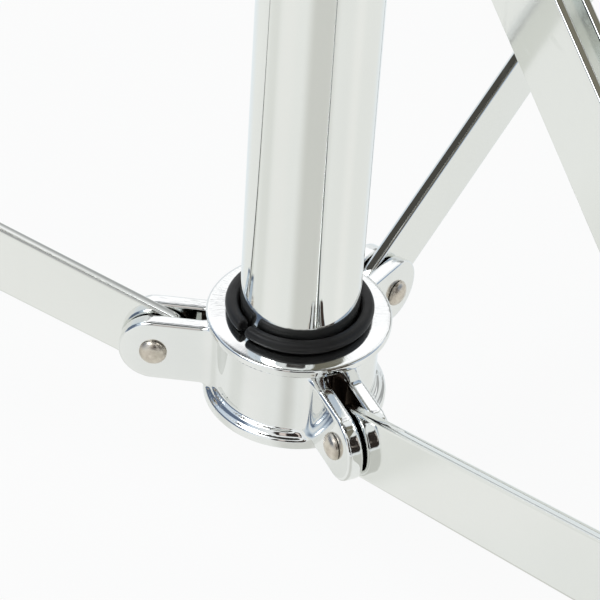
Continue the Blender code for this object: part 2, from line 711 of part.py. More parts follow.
def make_collar(axis):
    """Make the collar that slides on the base tube, about the pivot height of its forks."""
    lift = place(z=COLLAR_PIVOT_HEIGHT)
    top = COLLAR_TOP_RISE
    bottom = -HUB_PIVOT_DEPTH
    profile = casting_profile(top, bottom, COLLAR_TOP_RADIUS, FLANGE_RADIUS)
    collar = turned("upper_collar", [(radius, COLLAR_PIVOT_HEIGHT + height) for radius, height in profile],
                    CAST_CHROME, axis, axis.matrix_basis.inverted(), ROUND)
    for number, azimuth in enumerate(ARM_AZIMUTHS, 1):
        name = f"collar_fork_{number}"
        join(collar, fork(name, azimuth, COLLAR_PIVOT_HEIGHT, COLLAR_GAP, COLLAR_EAR_RADIUS))
    bolt_height = COLLAR_PIVOT_HEIGHT + BOSS_RISE
    bolt_spot = radial(0, bolt_height)
    boss = turned("collar_boss", [
        (0, BOSS_REACH),
        (BOSS_RADIUS - 0.8 * MM, BOSS_REACH),
        (BOSS_RADIUS, BOSS_REACH - 0.8 * MM),
        (BOSS_RADIUS, TUBE_RADIUS),
        (0, TUBE_RADIUS),
    ], matrix=bolt_spot, steps=SMALL)
    hole = cylinder("collar_bolt_hole", BOLT_HOLE_RADIUS, TUBE_RADIUS - MM, BOSS_REACH + MM, matrix=bolt_spot)
    low = COLLAR_PIVOT_HEIGHT + bottom
    join(collar, boss)
    cut(collar, bore_cutter("collar_bore", low, COLLAR_PIVOT_HEIGHT + top), hole)

    profile = bush_profile(low, -1, HUB_PIVOT_DEPTH + COLLAR_TOP_RISE - MM)
    bush = turned("collar_bushing", profile, BLACK_NYLON, axis, axis.matrix_basis.inverted(), ROUND)
    split = box("collar_bushing_split", (TUBE_RADIUS - 2 * MM, -BUSH_SPLIT / 2, -50 * MM),
                (BUSH_RIM_RADIUS + MM, BUSH_SPLIT / 2, 50 * MM), matrix=lift @ turn(BUSH_SPLIT_AZIMUTH, "Z"))
    cut(bush, split, hole)

    spacer = (LEG_SPACER_RADIUS, LEG_GAP / 2 - RUN_GAP)
    for number, azimuth in enumerate(ARM_AZIMUTHS, 1):
        spot = turn(azimuth, "Z") @ place(x=PIVOT_RADIUS, z=COLLAR_PIVOT_HEIGHT)
        rivet(f"collar_rivet_{number}", COLLAR_GAP + 2 * EAR_THICKNESS, RIVET_STEEL, axis,
              axis.matrix_basis.inverted() @ spot, spacer)

    bolt_place = axis.matrix_basis.inverted() @ bolt_spot @ place(z=BOSS_REACH)
    bolt_axis = empty("collar_wing_bolt_axis", axis, bolt_place)
    wing_grip("collar_wing_bolt", ZINC, bolt_axis, place(z=SEAT_GAP), shank=BOLT_RADIUS,
              length=BOSS_REACH - TUBE_RADIUS)


def make_tripod():
    """Make the three legs and the collar, each on its joint's axis."""
    for number, azimuth in enumerate(ARM_AZIMUTHS, 1):
        arm = turn(azimuth, "Z")
        brace_axis = empty(f"brace_{number}_axis",
                           matrix=arm @ place(x=PIVOT_RADIUS, z=HUB_PIVOT_HEIGHT) @ turn(-OPEN_ANGLE, "Y"))
        leg_axis = empty(f"leg_{number}_axis",
                         matrix=arm @ place(x=JOINT_RADIUS, z=JOINT_HEIGHT) @ turn(OPEN_ANGLE, "Y"))
        make_leg(number, brace_axis, leg_axis)
    collar_place = turn(ARM_AZIMUTHS[0], "Z") @ place(x=PIVOT_RADIUS, z=COLLAR_PIVOT_HEIGHT)
    make_collar(empty("collar_axis", matrix=collar_place))


def make_mast():
    """Make the memory lock, the middle tube and the double holder on top of it."""
    lock_bottom = CLAMP_TOP + SEAT_GAP
    lock_middle = lock_bottom + LOCK_HEIGHT / 2
    lock_axis = empty("memory_lock_axis", matrix=place(z=lock_middle))
    half = LOCK_HEIGHT / 2
    inner = MAST_RADIUS + RUN_GAP
    lock = turned("memory_lock", [
        (inner, half),
        (LOCK_RADIUS - MM, half),
        (LOCK_RADIUS, half - MM),
        (LOCK_RADIUS, MM - half),
        (LOCK_RADIUS - MM, -half),
        (inner, -half),
    ], CAST_CHROME, lock_axis, steps=ROUND)
    reach = LOCK_RADIUS + LOCK_EAR_REACH
    ear = LOCK_HEIGHT / 2 - 0.5 * MM
    corners = [(inner + MM, -ear, 0), (reach, -ear, ear * 0.9), (reach, ear, ear * 0.9), (inner + MM, ear, 0)]
    stack = CLAMP_SLIT + 2 * LOCK_EAR_THICKNESS
    ears = plate("lock_ears", [rounded(corners)], stack, parent=lock_axis, stand=UPRIGHT)
    slit = box("lock_slit", (MAST_RADIUS - MM, -CLAMP_SLIT / 2, -LOCK_HEIGHT),
               (reach + MM, CLAMP_SLIT / 2, LOCK_HEIGHT), parent=lock_axis)
    key_spot = place(x=reach - ear) @ lengthwise(0)
    hole = cylinder("lock_hole", LOCK_KEY_RADIUS + RUN_GAP, -stack, stack, parent=lock_axis, matrix=key_spot,
                    steps=TINY)
    cut(join(lock, ears), slit, hole)
    head = stack / 2 + SEAT_GAP
    head_top = head + LOCK_KEY_HEAD_HEIGHT
    key = turned("memory_lock_screw", [
        (0, head_top),
        (LOCK_KEY_HEAD_RADIUS, head_top),
        (LOCK_KEY_HEAD_RADIUS, head),
        (LOCK_KEY_RADIUS, head),
        (LOCK_KEY_RADIUS, -stack / 2),
        (0, -stack / 2),
    ], ZINC, lock_axis, key_spot, TINY)
    side = LOCK_KEY_SQUARE / 2
    join(key, box("key_square", (-side, -side, head + MM), (side, side, head_top + LOCK_KEY_SQUARE_HEIGHT),
                  parent=lock_axis, matrix=key_spot))

    mast_axis = empty("middle_tube_axis")
    pipe("middle_tube", MAST_RADIUS, MAST_RADIUS - MAST_WALL, MAST_BOTTOM, MAST_TOP, CHROME, mast_axis)
    make_holder(mast_axis)


def make_holder(mast_axis):
    """Make the double holder: a sleeve over the middle tube and a plate with two boom seats."""
    inner = MAST_RADIUS + RUN_GAP
    ceiling = MAST_TOP + SEAT_GAP
    sleeve_bottom = ceiling - HOLDER_SLEEVE_LENGTH
    sleeve_top = ceiling + HOLDER_CAP
    holder = turned("double_holder", [
        (0, sleeve_top),
        (HOLDER_SLEEVE_RADIUS - 3 * MM, sleeve_top),
        (HOLDER_SLEEVE_RADIUS, sleeve_top - 3 * MM),
        (HOLDER_SLEEVE_RADIUS, sleeve_bottom + 5 * MM),
        (HOLDER_SLEEVE_RADIUS + MM, sleeve_bottom + 4 * MM),
        (HOLDER_SLEEVE_RADIUS + MM, sleeve_bottom + MM),
        (HOLDER_SLEEVE_RADIUS, sleeve_bottom),
        (inner, sleeve_bottom),
        (inner, ceiling),
        (0, ceiling),
    ], CAST_CHROME, mast_axis, steps=ROUND)
    radius = HOLDER_BOSS_RADIUS
    lean = math.acos((radius - HOLDER_WAIST) / (BOOM_SPACING / 2))
    outline = arc(0, BOOM_SPACING, radius, 90 * DEG, 90 * DEG - lean, 6)
    outline += [(HOLDER_WAIST, BOOM_SPACING / 2)]
    outline += arc(0, 0, radius, 35 * DEG, -35 * DEG, 4)
    outline += [(HOLDER_WAIST, sleeve_top - 5 * MM - LOWER_BOOM_HEIGHT)]
    outline += [(-x, y) for x, y in reversed(outline) if x > 0.01 * MM]
    holes = [ring(0, height, BOLT_HOLE_RADIUS, SMALL) for height in (0, BOOM_SPACING)]
    web = plate("holder_plate", [outline] + holes, HOLDER_THICKNESS, parent=mast_axis,
                matrix=place(z=LOWER_BOOM_HEIGHT), stand=UPRIGHT)
    join(holder, web)


def make_boom(word, heading, height):
    """Make one boom: its swivel on the holder, the rod and the tilter with the cymbal seat."""
    axis = empty(f"boom_{word}_axis", matrix=turn(heading, "Z") @ place(z=height) @ turn(-BOOM_PITCH, "Y"))
    face = HOLDER_THICKNESS / 2 + SEAT_GAP
    rod_hole = BOOM_RADIUS + RUN_GAP
    along = place(y=BOOM_OFFSET) @ turn(90 * DEG, "Y")

    swivel = turned(f"boom_{word}_swivel", [
        (0, BOOM_OFFSET),
        (SWIVEL_RADIUS - 1.5 * MM, BOOM_OFFSET),
        (SWIVEL_RADIUS, BOOM_OFFSET - 1.5 * MM),
        (SWIVEL_RADIUS, face + 2 * MM),
        (SWIVEL_RADIUS - MM, face),
        (0, face),
    ], CAST_CHROME, axis, lengthwise(0), ROUND)
    pocket = EYE_RADIUS + RUN_GAP
    half = EYE_WIDTH / 2
    reach = 2 * SWIVEL_RADIUS
    cut(swivel,
        cylinder(f"saddle_{word}", rod_hole, -reach, reach, parent=axis, matrix=along),
        box(f"eye_pocket_{word}", (-half - RUN_GAP, BOOM_OFFSET - pocket, -pocket),
            (half + RUN_GAP, BOOM_OFFSET + MM, pocket), parent=axis),
        cylinder(f"swivel_bore_{word}", BOLT_HOLE_RADIUS, 0, BOOM_OFFSET, parent=axis, matrix=lengthwise(0)))

    eye = cylinder(f"boom_{word}_eyebolt", EYE_RADIUS, -half, half, CHROME, axis, along, ROUND)
    tail = face + WING_HUB_HEIGHT + 4 * MM
    join(eye, cylinder(f"eye_shank_{word}", BOLT_RADIUS, -tail, BOOM_OFFSET - BOOM_RADIUS - MM, parent=axis,
                       matrix=lengthwise(0)))
    cut(eye, cylinder(f"eye_bore_{word}", rod_hole, -EYE_WIDTH, EYE_WIDTH, parent=axis, matrix=along))

    nut_axis = empty(f"boom_{word}_wing_nut_axis", axis, place(y=-face) @ turn(90 * DEG, "X"))
    wing_grip(f"boom_{word}_wing_nut", ZINC, nut_axis, Matrix(), bore=BOLT_HOLE_RADIUS)

    rod_axis = empty(f"boom_{word}_rod_axis", axis, place(y=BOOM_OFFSET))
    lie = turn(90 * DEG, "Y")
    pipe(f"boom_{word}_rod", BOOM_RADIUS, BOOM_RADIUS - BOOM_WALL, -BOOM_TAIL, BOOM_REACH, CHROME, rod_axis,
         lie, SMALL)
    cap = BOOM_RADIUS + RUN_GAP
    end = -BOOM_TAIL - SEAT_GAP
    turned(f"boom_{word}_end_cap", [
        (cap, end + CAP_LENGTH),
        (cap + CAP_WALL, end + CAP_LENGTH),
        (cap + CAP_WALL, end - 0.5 * MM),
        (cap + CAP_WALL - 1.5 * MM, end - 2 * MM),
        (0, end - 2 * MM),
        (0, end),
        (cap, end),
    ], RUBBER, rod_axis, lie, SMALL)
    make_tilter(word, rod_axis)


def make_tilter(word, rod_axis):
    """Make the tilter at the rod's end, its wing bolt and the cymbal seat on its post."""
    lie = turn(90 * DEG, "Y")
    socket_start = BOOM_REACH - TILTER_SOCKET_DEPTH
    socket = BOOM_RADIUS + RUN_GAP
    base = turned(f"tilter_{word}_base", [
        (0, BOOM_REACH + TILTER_END_WALL),
        (TILTER_SOCKET_RADIUS - 2 * MM, BOOM_REACH + TILTER_END_WALL),
        (TILTER_SOCKET_RADIUS, BOOM_REACH + TILTER_END_WALL - 2 * MM),
        (TILTER_SOCKET_RADIUS, socket_start + MM),
        (TILTER_SOCKET_RADIUS - MM, socket_start),
        (socket, socket_start),
        (socket, BOOM_REACH + SEAT_GAP),
        (0, BOOM_REACH + SEAT_GAP),
    ], CAST_CHROME, rod_axis, lie, SMALL)
    ear_height = TILTER_SOCKET_RADIUS - 1.5 * MM
    root = BOOM_REACH + MM
    half_arc = math.pi - math.asin(ear_height / TILTER_DISC_RADIUS)
    nose = arc(TILTER_PLACE, 0, TILTER_DISC_RADIUS, -half_arc, half_arc, 10)
    ear = [(root, -ear_height)] + nose + [(root, ear_height)]
    thickness = TILTER_SOCKET_RADIUS
    hole = ring(TILTER_PLACE, 0, TILTER_BOLT_RADIUS + RUN_GAP, TINY)
    tongue = plate(f"tilter_tongue_{word}", [ear, hole], thickness, parent=rod_axis,
                   matrix=place(y=-thickness / 2), stand=UPRIGHT)
    join(base, tongue)

    upright = turn(BOOM_PITCH + POST_LEAN, "Y")
    head_axis = empty(f"tilter_{word}_head_axis", rod_axis, place(x=TILTER_PLACE) @ upright)
    centre = TILTER_HEAD_THICKNESS / 2 + SEAT_GAP
    outlines = [ring(0, 0, TILTER_DISC_RADIUS, ROUND), ring(0, 0, TILTER_BOLT_RADIUS + RUN_GAP, TINY)]
    head = plate(f"tilter_{word}_head", outlines, TILTER_HEAD_THICKNESS, 0.8 * MM, CAST_CHROME, head_axis,
                 place(y=centre), UPRIGHT)
    stem = turned(f"post_{word}", [
        (0, POST_TOP),
        (POST_RADIUS - 0.8 * MM, POST_TOP),
        (POST_RADIUS, POST_TOP - 0.8 * MM),
        (POST_RADIUS, POST_BOSS_TOP),
        (NECK_RADIUS - 0.6 * MM, POST_BOSS_TOP),
        (NECK_RADIUS - 0.2 * MM, POST_BOSS_TOP - MM),
        (NECK_RADIUS - 0.8 * MM, TILTER_DISC_RADIUS - MM),
        (0, TILTER_DISC_RADIUS - MM),
    ], parent=head_axis, matrix=place(y=centre), steps=SMALL)
    join(head, stem)

    bolt_axis = empty(f"tilter_{word}_bolt_axis", rod_axis,
                      place(x=TILTER_PLACE, y=-thickness) @ turn(90 * DEG, "X"))
    wing_grip(f"tilter_{word}_wing_bolt", ZINC, bolt_axis, place(z=SEAT_GAP), shank=TILTER_BOLT_RADIUS,
              length=thickness + TILTER_HEAD_THICKNESS)

    post = place(y=centre)
    bore = POST_RADIUS + RUN_GAP
    seat_bottom = POST_BOSS_TOP + SEAT_GAP
    seat_top = seat_bottom + SEAT_FLANGE_THICKNESS
    sleeve_top = seat_top + SLEEVE_LENGTH
    turned(f"cymbal_seat_{word}", [
        (bore, sleeve_top),
        (SLEEVE_RADIUS, sleeve_top),
        (SLEEVE_RADIUS, seat_top),
        (SEAT_FLANGE_RADIUS - MM, seat_top),
        (SEAT_FLANGE_RADIUS, seat_top - MM),
        (SEAT_FLANGE_RADIUS - 0.6 * MM, seat_bottom + MM),
        (SEAT_FLANGE_RADIUS - 5 * MM, seat_bottom),
        (bore, seat_bottom),
    ], BLACK_NYLON, head_axis, post, ROUND)
    for spot, bottom in (("lower", seat_top + SEAT_GAP), ("upper", sleeve_top - FELT_THICKNESS)):
        top = bottom + FELT_THICKNESS
        turned(f"{spot}_felt_{word}", [
            (SLEEVE_RADIUS + RUN_GAP, top),
            (FELT_RADIUS - FELT_ROUND, top),
            (FELT_RADIUS, top - FELT_ROUND),
            (FELT_RADIUS, bottom + FELT_ROUND),
            (FELT_RADIUS - FELT_ROUND, bottom),
            (SLEEVE_RADIUS + RUN_GAP, bottom),
        ], FELT, head_axis, post, ROUND)
    nut_axis = empty(f"top_wing_nut_{word}_axis", head_axis, post @ place(z=sleeve_top + SEAT_GAP))
    wing_grip(f"top_wing_nut_{word}", ZINC, nut_axis, Matrix(), bore=bore)


make_base()
make_clamp()
make_tripod()
make_mast()
make_boom("right", 0, UPPER_BOOM_HEIGHT)
make_boom("left", 180 * DEG, LOWER_BOOM_HEIGHT)
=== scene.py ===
"""Looks of the double cymbal stand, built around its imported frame.

Cast and moulded pieces are sculpted from distance fields, turned pieces are swept from a profile by
one geometry node tree, screw threads by another, and straps are plates with rounded edges.
Lengths are in metres, and places are those of the frame.
"""

import json
import logging
import math
from collections.abc import Callable, Sequence
from dataclasses import dataclass
from enum import Enum
from functools import reduce

import bmesh
import bpy
import numpy as np
from mathutils import Matrix, Vector

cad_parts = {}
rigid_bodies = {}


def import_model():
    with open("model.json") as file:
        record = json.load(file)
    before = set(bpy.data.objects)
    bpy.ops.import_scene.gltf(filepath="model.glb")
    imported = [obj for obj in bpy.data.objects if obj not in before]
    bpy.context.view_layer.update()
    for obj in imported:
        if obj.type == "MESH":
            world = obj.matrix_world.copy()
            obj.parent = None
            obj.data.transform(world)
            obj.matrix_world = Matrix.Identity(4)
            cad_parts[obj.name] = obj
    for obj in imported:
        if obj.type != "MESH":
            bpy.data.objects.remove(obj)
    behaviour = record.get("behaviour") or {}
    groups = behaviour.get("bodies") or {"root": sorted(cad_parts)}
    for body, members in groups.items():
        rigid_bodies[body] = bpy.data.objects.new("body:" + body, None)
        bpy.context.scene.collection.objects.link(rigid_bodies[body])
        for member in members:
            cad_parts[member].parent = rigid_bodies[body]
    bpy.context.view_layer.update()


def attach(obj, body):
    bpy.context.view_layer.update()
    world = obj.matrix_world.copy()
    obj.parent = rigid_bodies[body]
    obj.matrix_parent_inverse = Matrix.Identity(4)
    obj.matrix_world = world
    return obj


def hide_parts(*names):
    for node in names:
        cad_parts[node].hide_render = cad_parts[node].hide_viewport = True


for leftover in list(bpy.data.objects):
    bpy.data.objects.remove(leftover, do_unlink=True)
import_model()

LOG = logging.getLogger("double_cymbal_stand")
MM = 0.001
DEG = math.pi / 180
GAP = 0.25 * MM
UPRIGHT = Matrix.Rotation(90 * DEG, 4, "X")
LATHE_RADIUS = 50 * MM
EDGE = 0.5 * MM
CELL = 0.5 * MM
COARSE_CELL = 0.6 * MM
CLEAR = 9 * MM
THROUGH = 30 * MM
RADIAL_CUT = (10 * MM, 40 * MM)
BOLT_RADIUS = 4 * MM
BOLT_HOLE = 4.25 * MM
BOLT_PITCH = 1.25 * MM
PIN_HOLE = 3.25 * MM
SCRATCH_DENSITY = 260.0
MARKS_ROUND = 60.0
MARKS_OUTWARD = 260.0
MARKS_DEPTH = 0.12 * MM
MARKS_FADE = 9 * MM
MARKS_MATT = 0.12
# Painted shade: a dark brown colour with extra roughness laid on the cast chrome in the far ends of the lower hub's
# slots, where the slot faces fall into shade.
SLOT_SHADE_START = 18 * MM
SLOT_SHADE_HALF = 1.95 * MM
SLOT_SHADE_DROP = 2.5 * MM
SLOT_SHADE_COLOUR = (0.075, 0.055, 0.042)
SLOT_SHADE_ROUGHNESS = 0.45

Outline = Sequence[tuple[float, float]]
Field = Callable[[np.ndarray], np.ndarray]
Socket = bpy.types.NodeSocket
Value = float | tuple | Socket


def place(x: float = 0.0, y: float = 0.0, z: float = 0.0) -> Matrix:
    """Return a translation."""
    return Matrix.Translation((x, y, z))


def turn(angle: float, axis: str) -> Matrix:
    """Return a rotation about a named axis."""
    return Matrix.Rotation(angle, 4, axis)


def sideways(reach: float = 0.0) -> Matrix:
    """Return the matrix that lays a z axis piece along +y, starting at a given y."""
    return place(y=reach) @ turn(-90 * DEG, "X")


def radial(azimuth: float, height: float) -> Matrix:
    """Return the matrix that lays a z axis piece along a radius at a height."""
    return turn(azimuth, "Z") @ place(z=height) @ turn(90 * DEG, "Y")


def arc(x: float, y: float, radius: float, start: float, end: float, count: int) -> list[tuple[float, float]]:
    """Return points along an arc, both ends included.

    Args:
        x: the centre's first coordinate.
        y: its second coordinate.
        radius: the radius.
        start: the angle of the first point.
        end: the angle of the last point.
        count: the number of steps.

    Returns:
        The points in order.
    """
    angles = [start + (end - start) * step / count for step in range(count + 1)]
    return [(x + radius * math.cos(angle), y + radius * math.sin(angle)) for angle in angles]


def rounded(corners: Sequence[tuple[float, float, float]], per_turn: int = 48) -> list[tuple[float, float]]:
    """Return a closed outline whose corners (x, y, radius) are rounded by arcs.

    Args:
        corners: the sharp corners, each with its radius.
        per_turn: the number of arc steps in a full turn.

    Returns:
        The outline's points in order.
    """
    points: list[tuple[float, float]] = []
    for index, (x, y, radius) in enumerate(corners):
        if radius <= 0:
            points.append((x, y))
            continue
        corner = Vector((x, y))
        before = (Vector(corners[index - 1][:2]) - corner).normalized()
        after = (Vector(corners[(index + 1) % len(corners)][:2]) - corner).normalized()
        half = before.angle(after) / 2
        centre = corner + (before + after).normalized() * radius / math.sin(half)
        first = corner + before * radius / math.tan(half) - centre
        last = corner + after * radius / math.tan(half) - centre
        start = math.atan2(first.y, first.x)
        sweep = math.atan2(first.cross(last), first.dot(last))
        steps = max(2, round(abs(sweep) / (2 * math.pi) * per_turn))
        points += arc(centre.x, centre.y, radius, start, start + sweep, steps)
    return points


class NodeKit:
    """Adds nodes to one tree, with their inputs set or linked in the same line."""

    def __init__(self, tree: bpy.types.NodeTree) -> None:
        """Keep the tree that the nodes go into."""
        self.tree = tree

    def add(self, kind: str, inputs: dict | None = None, **settings: object) -> bpy.types.Node:
        """Add a node.

        Args:
            kind: the node's type name.
            inputs: values or output sockets by input name or index.
            settings: the node's own properties.

        Returns:
            The new node.
        """
        node = self.tree.nodes.new(kind)
        for key, value in settings.items():
            setattr(node, key, value)
        for key, value in (inputs or {}).items():
            if isinstance(value, Socket):
                self.tree.links.new(value, node.inputs[key])
            else:
                node.inputs[key].default_value = value
        return node

    def sum(self, operation: str, *values: Value) -> Socket:
        """Return the outcome of one arithmetic step."""
        return self.add("ShaderNodeMath", dict(enumerate(values)), operation=operation).outputs[0]

    def span(self, value: Socket, start: Value, end: Value, low: Value = 0.0, high: Value = 1.0,
             kind: str = "LINEAR") -> Socket:
        """Return a value carried from one span over to another.

        Args:
            value: the value.
            start: the value that gives low.
            end: the value that gives high.
            low: the result at the start.
            high: the result at the end.
            kind: how it runs between them.

        Returns:
            The result, which stays between low and high.
        """
        return self.add("ShaderNodeMapRange", {
            "Value": value, "From Min": start, "From Max": end, "To Min": low, "To Max": high},
            interpolation_type=kind).outputs[0]

    def mix(self, share: Socket, under: Value, over: Value) -> Socket:
        """Return one colour laid over another by a share."""
        return self.add("ShaderNodeMix", {"Factor": share, 6: under, 7: over}, data_type="RGBA").outputs[2]

    def noise(self, vector: Socket, scale: Value, detail: float) -> Socket:
        """Return noise between 0 and 1."""
        return self.add("ShaderNodeTexNoise", {"Vector": vector, "Scale": scale, "Detail": detail}).outputs[0]

    def polar(self, vector: Socket) -> tuple[Socket, Socket, bpy.types.bpy_prop_collection]:
        """Return a vector's angle and radius about the z axis, and its parts.

        Args:
            vector: the vector.

        Returns:
            The angle in radians, the radius and the outputs X, Y and Z.
        """
        parts = self.add("ShaderNodeSeparateXYZ", {"Vector": vector}).outputs
        level = self.add("ShaderNodeCombineXYZ", {"X": parts["X"], "Y": parts["Y"]}).outputs[0]
        radius = self.add("ShaderNodeVectorMath", {0: level}, operation="LENGTH").outputs["Value"]
        return self.sum("ARCTAN2", parts["Y"], parts["X"]), radius, parts

    def end(self, results: dict[str, Socket]) -> bpy.types.NodeTree:
        """Give the tree its results and return it."""
        self.add("NodeGroupOutput", results)
        return self.tree

    def dress(self, label: str, shape: Socket, finish: Socket) -> bpy.types.NodeTree:
        """End a geometry tree with real geometry in a material.

        Args:
            label: the name of the tree's result.
            shape: the geometry.
            finish: the material.

        Returns:
            The tree.
        """
        real = self.add("GeometryNodeRealizeInstances", {"Geometry": shape}).outputs[0]
        dressed = self.add("GeometryNodeSetMaterial", {"Geometry": real, "Material": finish})
        return self.end({label: dressed.outputs[0]})


def open_tree(name: str, kind: str, inputs: dict[str, str],
              outputs: dict[str, str]) -> tuple[NodeKit, bpy.types.bpy_prop_collection]:
    """Make a node group with named inputs and outputs.

    Args:
        name: the group's name.
        kind: Geometry or Shader.
        inputs: the socket type of each input by its name.
        outputs: the socket type of each output by its name.
    """
    kit = NodeKit(bpy.data.node_groups.new(name, kind + "NodeTree"))
    for way, rows in (("INPUT", inputs), ("OUTPUT", outputs)):
        for label, socket in rows.items():
            kit.tree.interface.new_socket(label, in_out=way, socket_type="NodeSocket" + socket)
    return kit, kit.add("NodeGroupInput").outputs


def turned_tree() -> bpy.types.NodeTree:
    """Return the tree that sweeps a profile round the z axis and rounds its corners.

    Returns:
        A geometry tree with the inputs Profile, Rounding, Rounding Steps, Flats and Finish.
    """
    kit, given = open_tree("turned_piece", "Geometry", {
        "Profile": "Geometry", "Rounding": "Float", "Rounding Steps": "Int", "Flats": "Int", "Finish": "Material"},
        {"Piece": "Geometry"})
    profile = kit.add("GeometryNodeMeshToCurve", {"Mesh": given["Profile"]})
    soft = kit.add("GeometryNodeFilletCurve", {
        "Curve": profile.outputs[0], "Count": given["Rounding Steps"], "Radius": given["Rounding"],
        "Limit Radius": True}, mode="POLY")
    path = kit.add("GeometryNodeCurvePrimitiveCircle", {"Resolution": given["Flats"], "Radius": LATHE_RADIUS},
                   mode="RADIUS")
    swept = kit.add("GeometryNodeCurveToMesh", {"Curve": path.outputs[0], "Profile Curve": soft.outputs[0]})
    merged = kit.add("GeometryNodeMergeByDistance", {"Geometry": swept.outputs[0], "Distance": 0.002 * MM})
    return kit.dress("Piece", merged.outputs[0], given["Finish"])


def thread_tree() -> bpy.types.NodeTree:
    """Return the tree that winds a screw thread round a core along z.

    Returns:
        A geometry tree with the inputs Radius, Length, Pitch, Depth and Finish.
    """
    kit, given = open_tree("screw_thread", "Geometry", {
        "Radius": "Float", "Length": "Float", "Pitch": "Float", "Depth": "Float", "Finish": "Material"},
        {"Thread": "Geometry"})
    crest = kit.sum("SUBTRACT", given["Radius"], given["Depth"])
    helix = kit.add("GeometryNodeCurveSpiral", {
        "Resolution": 40, "Rotations": kit.sum("DIVIDE", given["Length"], given["Pitch"]), "Start Radius": crest,
        "End Radius": crest, "Height": given["Length"]})
    ridge = kit.add("GeometryNodeCurvePrimitiveCircle", {"Resolution": 6, "Radius": given["Depth"]}, mode="RADIUS")
    wound = kit.add("GeometryNodeCurveToMesh", {
        "Curve": helix.outputs[0], "Profile Curve": ridge.outputs[0], "Fill Caps": True})
    return kit.dress("Thread", wound.outputs[0], given["Finish"])


def grain_group() -> bpy.types.NodeTree:
    """Return the shader group that varies roughness and height with two sizes of noise.

    Returns:
        A group that puts out Roughness and Height.
    """
    kit, given = open_tree("surface_grain", "Shader", {
        "Vector": "Vector", "Scale": "Float", "Fine Scale": "Float", "Low": "Float", "High": "Float",
        "Fine Share": "Float"}, {"Roughness": "Float", "Height": "Float"})
    broad = kit.noise(given["Vector"], given["Scale"], 3.0)
    fine = kit.noise(given["Vector"], given["Fine Scale"], 2.0)
    height = kit.add("ShaderNodeMix", {"Factor": given["Fine Share"], "A": broad, "B": fine}).outputs[0]
    return kit.end({"Roughness": kit.span(broad, 0.3, 0.7, given["Low"], given["High"]), "Height": height})


def scratch_group() -> bpy.types.NodeTree:
    """Return the shader group that marks fine hairline scratches in two directions.

    Returns:
        A group that puts out a Mask, up to Amount on a scratch.
    """
    kit, given = open_tree("hairline_scratches", "Shader", {"Vector": "Vector", "Density": "Float", "Amount": "Float"},
                           {"Mask": "Float"})
    masks = []
    for angles, stretch in (((0.3, 0.1, 0.7), (1.0, 0.03, 1.0)), ((1.1, 0.6, 0.2), (1.0, 1.0, 0.04))):
        laid = kit.add("ShaderNodeMapping", {"Vector": given["Vector"], "Rotation": angles, "Scale": stretch})
        masks.append(kit.span(kit.noise(laid.outputs[0], given["Density"], 1.0), 0.68, 0.74))
    return kit.end({"Mask": kit.sum("MULTIPLY", kit.sum("MAXIMUM", *masks), given["Amount"])})


def mottle_group() -> bpy.types.NodeTree:
    """Return the shader group that clouds one colour with another.

    Returns:
        A group that puts out a Color.
    """
    kit, given = open_tree("colour_mottle", "Shader", {
        "Vector": "Vector", "Scale": "Float", "First": "Color", "Second": "Color"}, {"Color": "Color"})
    share = kit.span(kit.noise(given["Vector"], given["Scale"], 5.0), 0.35, 0.65)
    return kit.end({"Color": kit.mix(share, given["First"], given["Second"])})


def marks_group() -> bpy.types.NodeTree:
    """Return the shader group of radial grinding marks about the z axis, on level faces only.

    Returns:
        A group that puts out the marks' Height and the Roughness that they add.
    """
    kit, given = open_tree("grinding_marks", "Shader", {
        "Vector": "Vector", "Fineness": "Float", "Shortness": "Float", "Amount": "Float"},
        {"Height": "Float", "Roughness": "Float"})
    angle, radius, spot = kit.polar(given["Vector"])
    laid = kit.add("ShaderNodeCombineXYZ", {
        "X": kit.sum("MULTIPLY", angle, given["Fineness"]), "Y": kit.sum("MULTIPLY", radius, given["Shortness"])})
    noise = kit.noise(laid.outputs[0], 1.0, 3.0)
    facing = kit.add("ShaderNodeSeparateXYZ", {"Vector": kit.add("ShaderNodeNewGeometry").outputs["Normal"]})
    level = kit.span(facing.outputs["Z"], 0.965, 0.988)
    worn = kit.sum("MULTIPLY", level, kit.span(spot["Y"], -MARKS_FADE, 0.0, 0.05))
    height = kit.sum("MULTIPLY", noise, kit.sum("MULTIPLY", worn, given["Amount"]))
    return kit.end({"Height": height, "Roughness": kit.sum("MULTIPLY", height, MARKS_MATT)})


def slot_shade_group() -> bpy.types.NodeTree:
    """Return the shader group that masks the painted shade in the ends of three slots cut towards the z axis.

    Returns:
        A group that puts out a Mask of painted shade, up to Amount in a slot.
    """
    kit, given = open_tree("painted_slot_shade", "Shader", {
        "Vector": "Vector", "First Radius": "Float", "Half Width": "Float", "Ceiling": "Float", "Amount": "Float"},
        {"Mask": "Float"})
    angle, radius, spot = kit.polar(given["Vector"])
    folded = kit.sum("WRAP", kit.sum("SUBTRACT", angle, 60 * DEG), 60 * DEG, -60 * DEG)
    aside = kit.sum("ABSOLUTE", kit.sum("MULTIPLY", folded, radius))
    inside = kit.sum("GREATER_THAN", given["Half Width"], aside)
    beyond = kit.sum("GREATER_THAN", radius, given["First Radius"])
    below = kit.span(kit.sum("SUBTRACT", spot["Z"], given["Ceiling"]), 0.3 * MM, -0.3 * MM)
    mask = kit.sum("MULTIPLY", kit.sum("MULTIPLY", inside, beyond), below)
    return kit.end({"Mask": kit.sum("MULTIPLY", mask, given["Amount"])})


class Sheen(Enum):
    """Whether a finish has a fibre sheen."""

    NONE = 0.0
    FIBRE = 0.5


